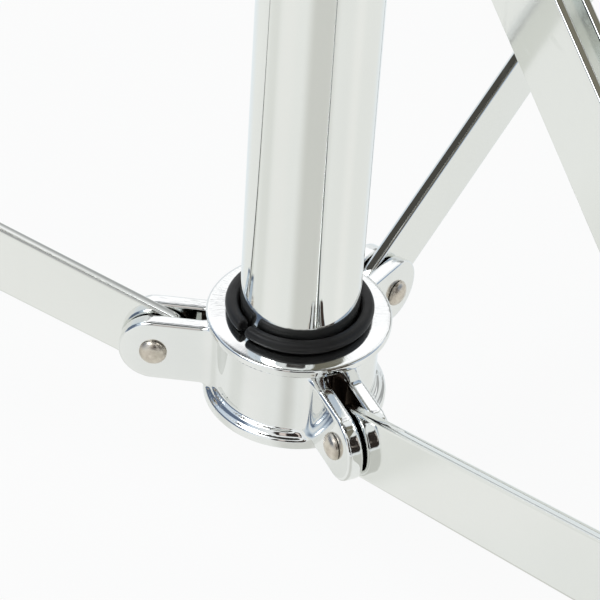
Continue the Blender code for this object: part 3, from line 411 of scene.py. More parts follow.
@dataclass(frozen=True)
class Finish:
    """One finish: a slot name, its two clouded colours and how its surface varies."""

    name: str
    slot: str
    first: tuple[float, float, float]
    second: tuple[float, float, float]
    roughness: tuple[float, float]
    metallic: float
    cloud_scale: float
    grain_scale: float
    fine_scale: float
    fine_share: float
    bump: float
    bump_distance: float
    scratches: float = 0.0
    sheen: Sheen = Sheen.NONE
    gloss: float = 0.5
    marks: float = 0.0
    # How strongly the painted slot shade darkens this finish.
    slot_shade: float = 0.0

    def build(self, groups: dict[str, bpy.types.NodeTree]) -> bpy.types.Material:
        """Return the finish's material.

        Args:
            groups: the shared shader groups by name.

        Returns:
            A new material on object coordinates.
        """
        material = bpy.data.materials.new(self.name)
        material.use_nodes = True
        material.diffuse_color = (*self.first, 1.0)
        kit = NodeKit(material.node_tree)
        shader = material.node_tree.nodes["Principled BSDF"]
        spot = kit.add("ShaderNodeTexCoord").outputs["Object"]
        rows = {
            "mottle": {"Scale": self.cloud_scale, "First": (*self.first, 1), "Second": (*self.second, 1)},
            "grain": {"Scale": self.grain_scale, "Fine Scale": self.fine_scale, "Low": self.roughness[0],
                      "High": self.roughness[1], "Fine Share": self.fine_share},
            "scratch": {"Density": SCRATCH_DENSITY, "Amount": self.scratches},
            "marks": {"Fineness": MARKS_ROUND, "Shortness": MARKS_OUTWARD, "Amount": 1.0 if self.marks else 0.0},
            "slot_shade": {"First Radius": SLOT_SHADE_START, "Half Width": SLOT_SHADE_HALF,
                       "Ceiling": LAYOUT.hub_top - SLOT_SHADE_DROP, "Amount": self.slot_shade},
        }
        made = {name: kit.add("ShaderNodeGroup", {"Vector": spot, **values}, node_tree=groups[name]).outputs
                for name, values in rows.items()}
        worn = kit.sum("ADD", made["grain"]["Roughness"], made["scratch"]["Mask"])
        ground = kit.sum("ADD", worn, made["marks"]["Roughness"])
        # Painted shade: the lower hub's slot ends are darkened to brown and roughened.
        slot_shade = made["slot_shade"]["Mask"]
        relief = kit.add("ShaderNodeBump", {
            "Strength": self.marks, "Distance": MARKS_DEPTH, "Height": made["marks"]["Height"]})
        bump = kit.add("ShaderNodeBump", {
            "Strength": self.bump, "Distance": self.bump_distance, "Height": made["grain"]["Height"],
            "Normal": relief.outputs[0]})
        for key, value in (
                ("Base Color", kit.mix(slot_shade, made["mottle"]["Color"], (*SLOT_SHADE_COLOUR, 1))),
                ("Roughness", kit.sum("MULTIPLY_ADD", slot_shade, SLOT_SHADE_ROUGHNESS, ground)),
                ("Normal", bump.outputs[0])):
            kit.tree.links.new(value, shader.inputs[key])
        for key, value in (("Metallic", self.metallic), ("Specular IOR Level", self.gloss),
                           ("Sheen Weight", self.sheen.value)):
            shader.inputs[key].default_value = value
        return material


CHROME = Finish("chrome_plate", "chrome", (0.87, 0.88, 0.86), (0.84, 0.85, 0.83), (0.03, 0.07), 1.0,
                9.0, 14.0, 900.0, 0.05, 0.10, 0.02 * MM, 0.05)
# The cast chrome carries the painted shade in the lower hub's slot ends.
CAST_CHROME = Finish("cast_chrome_plate", "cast_chrome", (0.87, 0.88, 0.87), (0.83, 0.84, 0.83), (0.03, 0.08), 1.0,
                     60.0, 160.0, 1600.0, 0.12, 0.32, 0.06 * MM, 0.06, marks=0.7, slot_shade=1.0)
RIVET_STEEL = Finish("satin_rivet_steel", "rivet_steel", (0.78, 0.72, 0.63), (0.56, 0.50, 0.43), (0.26, 0.42), 1.0,
                     520.0, 500.0, 2600.0, 0.4, 0.30, 0.04 * MM, 0.10)
ZINC = Finish("zinc_plate", "zinc_plated", (0.70, 0.71, 0.70), (0.60, 0.61, 0.61), (0.14, 0.30), 1.0,
              90.0, 240.0, 2200.0, 0.4, 0.22, 0.04 * MM, 0.08)
BLACK_NYLON = Finish("moulded_black_nylon", "black_nylon", (0.014, 0.014, 0.014), (0.020, 0.019, 0.019),
                     (0.36, 0.52), 0.0, 120.0, 260.0, 2400.0, 0.5, 0.25, 0.05 * MM, gloss=0.32)
RUBBER = Finish("black_foot_rubber", "black_rubber", (0.026, 0.026, 0.026), (0.040, 0.039, 0.038), (0.62, 0.82), 0.0,
                60.0, 300.0, 1800.0, 0.6, 0.4, 0.10 * MM)
FELT = Finish("grey_wool_felt", "grey_felt", (0.13, 0.13, 0.13), (0.20, 0.20, 0.20), (0.9, 1.0), 0.0,
              900.0, 420.0, 2600.0, 0.6, 0.9, 0.35 * MM, sheen=Sheen.FIBRE)


def pair(first: np.ndarray, second: np.ndarray, rounding: float) -> np.ndarray:
    """Return the overlap of two distances, its edge rounded.

    Args:
        first: a distance.
        second: another distance.
        rounding: the radius on the edge.

    Returns:
        The distances, negative inside.
    """
    a = first + rounding
    b = second + rounding
    return np.minimum(np.maximum(a, b), 0) + np.hypot(np.maximum(a, 0), np.maximum(b, 0)) - rounding


def blend(first: np.ndarray, second: np.ndarray, width: float) -> np.ndarray:
    """Return two distances joined with a fillet about as wide as given.

    Args:
        first: a distance.
        second: another distance.
        width: the width of the fillet.

    Returns:
        The distances, negative inside.
    """
    near = np.maximum(width - np.abs(first - second), 0) / width
    return np.minimum(first, second) - near * near * width / 4


def carve(body: np.ndarray, tool: np.ndarray, width: float = EDGE) -> np.ndarray:
    """Return a body with a tool taken out, the edge broken."""
    return -blend(-body, tool, width)


def seen_from(points: np.ndarray, matrix: Matrix) -> np.ndarray:
    """Return the points in the frame that a matrix places.

    Args:
        points: the points.
        matrix: where the frame lies.

    Returns:
        The points in that frame.
    """
    back = np.array(matrix.inverted())
    return points @ back[:3, :3].T + back[:3, 3]


def rod(points: np.ndarray, radius: float, low: float, high: float, rounding: float = 0.0) -> np.ndarray:
    """Return the distance to a cylinder along z.

    Args:
        points: where to measure.
        radius: its radius.
        low: height of its lower end.
        high: height of its upper end.
        rounding: the radius on its edges.

    Returns:
        The distances, negative inside.
    """
    side = np.hypot(points[:, 0], points[:, 1]) - radius
    ends = np.abs(points[:, 2] - (low + high) / 2) - (high - low) / 2
    return pair(side, ends, rounding)


def block(points: np.ndarray, low: Sequence[float], high: Sequence[float], rounding: float = 0.0) -> np.ndarray:
    """Return the distance to a box.

    Args:
        points: where to measure.
        low: its lowest corner.
        high: its highest corner.
        rounding: the radius on its edges.

    Returns:
        The distances, negative inside.
    """
    middle = (np.array(low) + np.array(high)) / 2
    half = (np.array(high) - np.array(low)) / 2 - rounding
    away = np.abs(points - middle) - half
    return np.minimum(away.max(axis=1), 0) + np.linalg.norm(np.maximum(away, 0), axis=1) - rounding


def flat_outline(flat: np.ndarray, outline: Outline) -> np.ndarray:
    """Return the distance to a closed outline in a plane.

    Args:
        flat: points in the plane.
        outline: the outline's corners in order.

    Returns:
        The distances, negative inside.
    """
    corners = np.array(outline)
    nearest = np.full(len(flat), np.inf)
    inside = np.zeros(len(flat), bool)
    for start, end in zip(corners, np.roll(corners, -1, axis=0)):
        edge = end - start
        away = flat - start
        share = np.clip(away @ edge / max(edge @ edge, 1e-18), 0, 1)
        nearest = np.minimum(nearest, ((away - share[:, None] * edge) ** 2).sum(axis=1))
        crosses = (start[1] > flat[:, 1]) != (end[1] > flat[:, 1])
        rise = edge[1] if edge[1] else 1.0
        inside ^= crosses & (away[:, 0] < away[:, 1] * edge[0] / rise)
    return np.where(inside, -1.0, 1.0) * np.sqrt(nearest)


def prism(points: np.ndarray, outline: Outline, half: float, rounding: float) -> np.ndarray:
    """Return the distance to an upright plate: its outline lies in x and z, its thickness along y."""
    return pair(flat_outline(points[:, [0, 2]], outline), np.abs(points[:, 1]) - half, rounding)


def sculpt(field: Field, low: Sequence[float], high: Sequence[float], step: float = CELL) -> bpy.types.Mesh:
    """Return the skin of a distance field, one vertex in each cell that it crosses.

    Args:
        field: gives the distance of each point, negative inside.
        low: the lowest corner of the space searched.
        high: the highest corner of the space searched.
        step: the size of a cell.

    Returns:
        A closed mesh whose vertices lie on the field's surface.
    """
    margin, most = 1.5 * step, 0.5 * step
    start = np.array(low) - margin
    counts = np.ceil((np.array(high) + margin - start) / step).astype(int) + 1
    lines = [start[axis] + step * np.arange(counts[axis]) for axis in range(3)]
    grid = np.stack(np.meshgrid(*lines, indexing="ij"), axis=-1).reshape(-1, 3)
    values = field(grid).reshape(counts)
    inside = values < 0
    filled = np.zeros(counts - 1, np.int8)
    for corner in np.ndindex(2, 2, 2):
        window = tuple(slice(near, size - 1 + near) for near, size in zip(corner, counts))
        filled += inside[window]
    active = (filled > 0) & (filled < 8)
    cells = np.argwhere(active)
    numbers = np.full(active.shape, -1, np.int64)
    numbers[active] = np.arange(len(cells))
    sums = np.zeros((len(cells), 3))
    hits = np.zeros(len(cells))
    units = np.eye(3, dtype=int)
    quads = []
    for axis in range(3):
        second, third = (axis + 1) % 3, (axis + 2) % 3
        for a, b in np.ndindex(2, 2):
            near = a * units[second] + b * units[third]
            before = values[tuple((cells + near).T)]
            after = values[tuple((cells + near + units[axis]).T)]
            crossed = (before < 0) != (after < 0)
            share = np.where(crossed, before / np.where(crossed, before - after, 1.0), 0.0)
            sums += crossed[:, None] * (near + share[:, None] * units[axis])
            hits += crossed
        length = [slice(None)] * 3
        length[axis] = slice(0, -1)
        later = [slice(None)] * 3
        later[axis] = slice(1, None)
        edges = np.argwhere(inside[tuple(length)] != inside[tuple(later)])
        around = [edges - units[second] - units[third], edges - units[third], edges, edges - units[second]]
        rows = np.stack([numbers[tuple(cell.T)] for cell in around], axis=1)
        backwards = ~inside[tuple(edges.T)]
        rows[backwards] = rows[backwards][:, ::-1]
        quads.append(rows)
    spots = start + step * (cells + sums / hits[:, None])
    reach = 0.02 * step
    for _ in range(4):
        slope = np.stack([(field(spots + reach * unit) - field(spots - reach * unit)) / (2 * reach)
                          for unit in units], axis=1)
        size = np.maximum((slope ** 2).sum(axis=1), 0.25)
        move = slope * (field(spots) / size)[:, None]
        spots -= np.clip(move, -most, most)
    mesh = bpy.data.meshes.new("sculpted")
    mesh.from_pydata(spots.tolist(), [], np.concatenate(quads).tolist())
    mesh.shade_smooth()
    return mesh


class Workshop:
    """Holds the trees and materials, and turns shapes into finished pieces of the stand."""

    def __init__(self) -> None:
        """Build the shared trees and groups."""
        self.turning = turned_tree()
        self.threading = thread_tree()
        self.groups = {"grain": grain_group(), "scratch": scratch_group(), "mottle": mottle_group(),
                       "marks": marks_group(), "slot_shade": slot_shade_group()}
        self.materials: dict[str, bpy.types.Material] = {}

    def material(self, finish: Finish) -> bpy.types.Material:
        """Return a finish's material, made once.

        Args:
            finish: the finish.

        Returns:
            The material that every piece in it shares.
        """
        if finish.name not in self.materials:
            self.materials[finish.name] = finish.build(self.groups)
        return self.materials[finish.name]

    def settle(self, item: bpy.types.Object) -> bpy.types.Mesh:
        """Return an object's evaluated mesh facing outwards and evenly shaded, and drop the object.

        Args:
            item: the object, which is removed.

        Returns:
            A mesh of its own.
        """
        bpy.context.view_layer.update()
        mesh = bpy.data.meshes.new_from_object(item.evaluated_get(bpy.context.evaluated_depsgraph_get()))
        item.modifiers.clear()
        bpy.data.objects.remove(item, do_unlink=True)
        shape = bmesh.new()
        shape.from_mesh(mesh)
        bmesh.ops.remove_doubles(shape, verts=shape.verts, dist=0.001 * MM)
        bmesh.ops.recalc_face_normals(shape, faces=shape.faces)
        shape.to_mesh(mesh)
        shape.free()
        mesh.shade_smooth()
        draft = bpy.data.objects.new("draft", mesh)
        bpy.context.scene.collection.objects.link(draft)
        draft.modifiers.new("even_shading", "WEIGHTED_NORMAL")
        bpy.context.view_layer.update()
        even = bpy.data.meshes.new_from_object(draft.evaluated_get(bpy.context.evaluated_depsgraph_get()))
        bpy.data.objects.remove(draft, do_unlink=True)
        return even

    def run_tree(self, tree: bpy.types.NodeTree, mesh: bpy.types.Mesh, values: dict[str, object]) -> bpy.types.Mesh:
        """Return what a geometry tree makes of a mesh, with the tree's inputs set by name.

        Args:
            tree: the geometry tree.
            mesh: what goes into it.
            values: the tree's inputs by name.

        Returns:
            The finished mesh.
        """
        item = bpy.data.objects.new("draft", mesh)
        bpy.context.scene.collection.objects.link(item)
        modifier = item.modifiers.new(tree.name, "NODES")
        modifier.node_group = tree
        for socket in tree.interface.items_tree:
            if socket.in_out == "INPUT" and socket.name in values:
                modifier[socket.identifier] = values[socket.name]
        return self.settle(item)

    def turned(self, profile: Outline, rounding: float = 0.4 * MM, flats: int = 72) -> bpy.types.Mesh:
        """Return a turned mesh from its half section of (radius, height) points.

        Args:
            profile: an open line that starts and ends on the axis, or a closed one off it.
            rounding: the radius on the section's corners.
            flats: the number of flats round it.

        Returns:
            A closed mesh about the z axis.
        """
        mesh = bpy.data.meshes.new("profile")
        points = [(radius - LATHE_RADIUS, -height, 0.0) for radius, height in profile]
        lines = [(index, index + 1) for index in range(len(points) - 1)]
        if profile[0][0] > 0:
            lines.append((len(points) - 1, 0))
        mesh.from_pydata(points, lines, [])
        return self.run_tree(self.turning, mesh, {
            "Rounding": rounding, "Rounding Steps": 4, "Flats": flats, "Finish": None})

    def ring(self, inner: float, outer: float, low: float, high: float, rounding: float = 0.3 * MM,
             flats: int = 72) -> bpy.types.Mesh:
        """Return a round pin, or a tube where its inner radius isn't 0.

        Args:
            inner: the radius of its bore.
            outer: its outer radius.
            low: height of its lower end.
            high: height of its upper end.
            rounding: the radius on its edges.
            flats: the number of flats round it.

        Returns:
            A closed mesh about the z axis.
        """
        return self.turned([(inner, high), (outer, high), (outer, low), (inner, low)], rounding, flats)

    def thread(self, radius: float, length: float, pitch: float) -> bpy.types.Mesh:
        """Return a screw thread along +z.

        Args:
            radius: its outer radius.
            length: its length.
            pitch: its pitch.

        Returns:
            A closed mesh.
        """
        return self.run_tree(self.threading, bpy.data.meshes.new("thread"), {
            "Radius": radius, "Length": length, "Pitch": pitch, "Depth": 0.42 * pitch, "Finish": None})

    def plate(self, outlines: Sequence[Outline], thickness: float, edge: float) -> bpy.types.Mesh:
        """Return an upright plate with rounded edges; the outlines after the first are holes.

        Args:
            outlines: the outer outline, then its holes.
            thickness: the plate's thickness.
            edge: the rounding of its edges.

        Returns:
            The plate's mesh.
        """
        curve = bpy.data.curves.new("outline", "CURVE")
        curve.dimensions = "2D"
        curve.fill_mode = "BOTH"
        curve.extrude = thickness / 2 - edge
        curve.bevel_depth = edge
        curve.bevel_resolution = 3
        curve.offset = -edge
        for outline in outlines:
            spline = curve.splines.new("POLY")
            spline.points.add(len(outline) - 1)
            for point, (x, y) in zip(spline.points, outline):
                point.co = (x, y, 0, 1)
            spline.use_cyclic_u = True
        item = bpy.data.objects.new("draft", curve)
        bpy.context.scene.collection.objects.link(item)
        mesh = self.settle(item)
        mesh.transform(UPRIGHT)
        return mesh

    def show(self, name: str, mesh: bpy.types.Mesh, at: Matrix, finish: Finish, body: str, *nodes: str) -> None:
        """Put a copy of a mesh in the stand as a finished piece.

        Args:
            name: the piece's name.
            mesh: the shape in its own frame.
            at: where that frame lies.
            finish: what it is finished in.
            body: the body that it rides on.
            nodes: the CAD nodes that it stands for.
        """
        own = mesh.copy()
        own.name = name
        own.transform(at)
        own.materials.clear()
        own.materials.append(self.material(finish))
        item = bpy.data.objects.new(name, own)
        bpy.context.scene.collection.objects.link(item)
        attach(item, body)
        if nodes:
            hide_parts(*nodes)
        LOG.info("%s on %s, %d faces", name, body, len(own.polygons))


@dataclass(frozen=True)
class Layout:
    """Sizes that several sub-assemblies share."""

    tube_radius: float = 14.3 * MM
    tube_wall: float = 1.5 * MM
    tube_top: float = 560 * MM
    mast_radius: float = 11.1 * MM
    azimuths: tuple[float, ...] = (180 * DEG, 300 * DEG, 60 * DEG)
    pivot_radius: float = 34 * MM
    brace_length: float = 200 * MM
    leg_length: float = 489 * MM
    end_rise: float = 15.4 * MM
    open_angle: float = 27 * DEG
    pivot_depth: float = 13 * MM
    hub_height: float = 25 * MM
    flange_radius: float = 22.2 * MM
    flange_thickness: float = 2.8 * MM
    waist_radius: float = 19.5 * MM
    bore_radius: float = 16 * MM
    ear_thickness: float = 3.6 * MM
    side_gap: float = 0.75 * MM
    brace_thickness: float = 3 * MM
    strap_thickness: float = 1.6 * MM
    rivet_radius: float = 2.2 * MM
    rim_edge: float = 0.7 * MM
    bush_reach: float = 19 * MM

    @property
    def leg_end(self) -> float:
        """Reach of a leg's straps past its joint with the brace."""
        return self.leg_length - self.brace_length

    @property
    def hub_pivot(self) -> float:
        """Height of the lower hub's pivots."""
        return self.end_rise + (self.leg_end - self.brace_length) * math.sin(self.open_angle)

    @property
    def collar_pivot(self) -> float:
        """Height of the collar's pivots."""
        return self.hub_pivot + 2 * self.brace_length * math.sin(self.open_angle)

    @property
    def hub_top(self) -> float:
        """Height of the lower hub's top face."""
        return self.hub_pivot + self.pivot_depth

    @property
    def hub_bottom(self) -> float:
        """Height of the lower hub's underside."""
        return self.hub_top - self.hub_height

    @property
    def fork_gap(self) -> float:
        """Width of the lower hub's slots."""
        return self.brace_thickness + 2 * self.side_gap

    @property
    def fork_width(self) -> float:
        """Width over the ears of the lower hub."""
        return self.fork_gap + 2 * self.ear_thickness

    @property
    def leg_gap(self) -> float:
        """Space between the two straps of a leg."""
        return self.brace_thickness + 2 * GAP

    @property
    def leg_stack(self) -> float:
        """Width over the two straps of a leg."""
        return self.leg_gap + 2 * self.strap_thickness

    @property
    def collar_gap(self) -> float:
        """Width of the collar's slots."""
        return self.leg_stack + 2 * GAP

    def arm(self, number: int) -> Matrix:
        """Return the frame of an arm of the tripod."""
        return turn(self.azimuths[number - 1], "Z")

    def brace_frame(self, number: int) -> Matrix:
        """Return the frame along a brace, from its pivot in the lower hub."""
        return self.arm(number) @ place(x=self.pivot_radius, z=self.hub_pivot) @ turn(-self.open_angle, "Y")

    def leg_frame(self, number: int) -> Matrix:
        """Return the frame along a leg, from its joint with the brace.

        Args:
            number: the arm, from 1.

        Returns:
            The frame, x towards the foot.
        """
        reach = self.pivot_radius + self.brace_length * math.cos(self.open_angle)
        height = self.hub_pivot + self.brace_length * math.sin(self.open_angle)
        return self.arm(number) @ place(x=reach, z=height) @ turn(self.open_angle, "Y")


LAYOUT = Layout()
BEAD_RADIUS = 17.75 * MM
BEAD_HEIGHT = 3.4 * MM
BEAD_ROUNDING = 1.5 * MM
BEAD_OVERLAP = 2 * MM
SPLIT_AZIMUTH = 224.6 * DEG
SPLIT_HALF = 1.1 * MM


def ears(points: np.ndarray, azimuth: float, height: float, gap: float, wide: float, radius: float) -> np.ndarray:
    """Return the distance to the two ears of a casting's fork.

    Args:
        points: where to measure.
        azimuth: the arm that the fork holds.
        height: height of the fork's pivot.
        gap: width of the slot.
        wide: width over both ears.
        radius: radius of the ears' round ends.

    Returns:
        The distances.
    """
    local = seen_from(points, turn(azimuth, "Z") @ place(z=height))
    root = LAYOUT.waist_radius - 4 * MM
    along = np.clip(local[:, 0], root, LAYOUT.pivot_radius)
    face = np.hypot(local[:, 0] - along, local[:, 2]) - radius
    slab = np.abs(np.abs(local[:, 1]) - (wide + gap) / 4) - (wide - gap) / 4
    return pair(face, slab, 0.75 * MM)


def pin_hole(points: np.ndarray, azimuth: float, height: float) -> np.ndarray:
    """Return the distance to the rivet hole through a fork.

    Args:
        points: where to measure.
        azimuth: the arm that the fork holds.
        height: height of the fork's pivot.

    Returns:
        The distances, negative inside.
    """
    local = seen_from(points, turn(azimuth, "Z") @ place(x=LAYOUT.pivot_radius, z=height) @ sideways())
    return rod(local, LAYOUT.rivet_radius + GAP, -THROUGH, THROUGH)


def split_bush(points: np.ndarray, face: float, way: float, depth: float) -> np.ndarray:
    """Return the distance to a split bush with a rounded bead.

    Args:
        points: where to measure.
        face: height of the casting's face that the bead lies on.
        way: 1 where the bead points up and -1 where it points down.
        depth: how far the bush reaches into the bore.

    Returns:
        The distances.
    """
    rise = (points[:, 2] - face) * way
    radius = np.hypot(points[:, 0], points[:, 1])
    inner = LAYOUT.tube_radius + GAP

    def band(first: float, last: float, low: float, high: float, rounding: float) -> np.ndarray:
        """Return the distance to a ring between two radii and two heights."""
        across = np.abs(radius - (first + last) / 2) - (last - first) / 2
        return pair(across, np.abs(rise - (low + high) / 2) - (high - low) / 2, rounding)

    bead = band(inner, BEAD_RADIUS, GAP, BEAD_HEIGHT, BEAD_ROUNDING)
    body = band(inner, LAYOUT.bore_radius - GAP, -depth, BEAD_OVERLAP, 0.3 * MM)
    whole = blend(bead, body, 0.4 * MM)
    local = seen_from(points, turn(SPLIT_AZIMUTH, "Z"))
    split = block(local, (10 * MM, -SPLIT_HALF, -1), (25 * MM, SPLIT_HALF, 1))
    return carve(whole, split, 0.7 * MM)


@dataclass
class WingGrip:
    """A wing nut, or a wing bolt where it has a shank."""

    span: float = 19 * MM
    hub_radius: float = 6.5 * MM
    height: float = 17 * MM
    thickness: float = 4 * MM
    hub_height: float = 12 * MM

    def mesh(self, bore: float = 0.0) -> bpy.types.Mesh:
        """Return the grip's mesh, with a bore if it is a nut.

        Args:
            bore: the radius of its bore, or 0 for none.

        Returns:
            A closed mesh, its foot at the origin.
        """
        span, height, hub = self.span, self.height, self.hub_radius
        corners = [
            (0.45 * span, 1 * MM, 2 * MM),
            (span, 0.42 * height, 5 * MM),
            (0.98 * span, height, 4 * MM),
            (0.6 * span, 0.88 * height, 4 * MM),
            (0.5 * hub, 0.75 * self.hub_height, 1 * MM),
        ]
        outline = rounded(corners + [(-x, y, radius) for x, y, radius in reversed(corners)], 20)

        def field(points: np.ndarray) -> np.ndarray:
            """Return the distance to the grip.

            Args:
                points: where to measure.

            Returns:
                The distances, negative inside.
            """
            reach = np.abs(points[:, 0]) / span
            half = self.thickness / 2 * (0.72 + 0.28 * np.clip(reach, 0, 1))
            wings = pair(flat_outline(points[:, [0, 2]], outline), np.abs(points[:, 1]) - half, 1.3 * MM)
            taper = 1 - 0.25 * np.clip(points[:, 2] / self.hub_height, 0, 1)
            side = np.hypot(points[:, 0], points[:, 1]) - hub * taper
            ends = np.abs(points[:, 2] - self.hub_height / 2) - self.hub_height / 2
            whole = blend(pair(side, ends, 0.7 * MM), wings, 2.2 * MM)
            whole = np.maximum(whole, -points[:, 2])
            return carve(whole, rod(points, bore, -THROUGH, THROUGH)) if bore else whole

        return sculpt(field, (-span, -hub, 0), (span, hub, height), 0.42 * MM)


# ---------------------------------------------------------------- sub-assemblies

@dataclass
class TripodHub:
    """The base tube and the lower hub with its bush, its rivets and its grub screw."""

    shop: Workshop
    ear_radius: float = 8.5 * MM
    slot: float = 3.9 * MM
    crown_start: float = 17.2 * MM
    crown_slope: float = 6.5 * DEG
    root_fillet: float = 4.2 * MM
    step_width: float = 1.1 * MM
    step_rise: float = 1.2 * MM
    screw_azimuth: float = 120 * DEG
    screw_radius: float = 2.2 * MM
    key_half: float = 1.1 * MM
    key_depth: float = 2 * MM

    def field(self, points: np.ndarray) -> np.ndarray:
        """Return the distance to the hub casting.

        Args:
            points: where to measure.

        Returns:
            The distances, negative inside.
        """
        size = LAYOUT
        top, bottom = size.hub_top, size.hub_bottom
        whole = rod(points, size.waist_radius, bottom + 0.5 * MM, top - 0.5 * MM)
        forks = np.minimum.reduce([
            ears(points, azimuth, size.hub_pivot, self.slot, size.fork_width, self.ear_radius)
            for azimuth in size.azimuths])
        whole = blend(whole, forks, self.root_fillet)
        upper = rod(points, size.flange_radius, top - size.flange_thickness, top, size.rim_edge)
        lower = rod(points, size.flange_radius, bottom, bottom + size.flange_thickness, size.rim_edge)
        step = rod(points, size.waist_radius + self.step_width, bottom,
                   bottom + size.flange_thickness + self.step_rise, 0.4 * MM)
        whole = blend(whole, upper, 0.9 * MM)
        whole = blend(blend(whole, step, 0.8 * MM), lower, 1.6 * MM)
        beyond = np.hypot(points[:, 0], points[:, 1]) - self.crown_start
        crown = points[:, 2] - top + np.maximum(beyond, 0) * math.tan(self.crown_slope)
        whole = pair(whole, crown * math.cos(self.crown_slope), EDGE)
        whole = carve(whole, rod(points, size.bore_radius, bottom - MM, top + MM), 0.6 * MM)
        for azimuth in size.azimuths:
            whole = carve(whole, pin_hole(points, azimuth, size.hub_pivot), 0.3 * MM)
        local = seen_from(points, radial(self.screw_azimuth, size.hub_pivot))
        return carve(whole, rod(local, self.screw_radius + GAP, *RADIAL_CUT), 0.4 * MM)

    def build(self) -> None:
        """Build the base tube, the casting, the bush, the rivets and the grub screw."""
        size, shop = LAYOUT, self.shop
        tube = shop.ring(size.tube_radius - size.tube_wall, size.tube_radius, size.hub_bottom + 2 * MM, size.tube_top,
                         flats=128)
        shop.show("polished_base_tube", tube, Matrix(), CHROME, "base", "base_tube")
        reach = size.pivot_radius + self.ear_radius
        hub = sculpt(self.field, (-reach, -reach, size.hub_bottom), (0.62 * reach, reach, size.hub_top))
        shop.show("tripod_hub_casting", hub, Matrix(), CAST_CHROME, "base", "lower_hub")
        depth, rim = size.hub_height - 3 * MM, size.bush_reach
        bush = sculpt(lambda points: split_bush(points, size.hub_top, 1, depth), (-rim, -rim, size.hub_top - depth),
                      (rim, rim, size.hub_top + 5.5 * MM), 0.36 * MM)
        shop.show("tripod_hub_bush", bush, Matrix(), BLACK_NYLON, "base", "hub_bushing")
        rivet = rivet_mesh(shop, size.fork_width)
        for number in (1, 2, 3):
            spot = size.arm(number) @ place(x=size.pivot_radius, z=size.hub_pivot)
            shop.show(f"fork_rivet_{number}", rivet, spot @ sideways(), RIVET_STEEL, "base", f"hub_rivet_{number}")
        screw = sculpt(self.set_screw, (-3 * MM, -3 * MM, 14.5 * MM), (3 * MM, 3 * MM, 19.5 * MM), 0.2 * MM)
        shop.show("fork_hub_grub_screw", screw, radial(self.screw_azimuth, size.hub_pivot), ZINC, "base",
                  "hub_set_screw")

    def set_screw(self, points: np.ndarray) -> np.ndarray:
        """Return the distance to the grub screw with its six-sided socket.

        Args:
            points: where to measure.

        Returns:
            The distances, negative inside.
        """
        whole = rod(points, self.screw_radius, LAYOUT.tube_radius + GAP, LAYOUT.waist_radius, 0.3 * MM)
        sides = [np.abs(points[:, 0] * math.cos(angle) + points[:, 1] * math.sin(angle)) - self.key_half
                 for angle in (0, 60 * DEG, 120 * DEG)]
        socket = np.maximum(np.maximum.reduce(sides), LAYOUT.waist_radius - self.key_depth - points[:, 2])
        return carve(whole, socket, 0.2 * MM)


def rivet_mesh(shop: Workshop, stack: float) -> bpy.types.Mesh:
    """Return a rivet along z with a domed head past each side of a stack.

    Args:
        shop: where the pieces are made.
        stack: the thickness that it holds.

    Returns:
        A closed mesh.
    """
    head_radius, head_height = 3.35 * MM, 1.9 * MM
    seat = stack / 2 + GAP / 2
    dome = [(head_radius * x, seat + head_height * y) for y, x in arc(0, 0, 1, 0, 90 * DEG, 10)]
    half = dome + [(LAYOUT.rivet_radius, seat)]
    return shop.turned(half + [(radius, -height) for radius, height in reversed(half)], 0.12 * MM, 48)


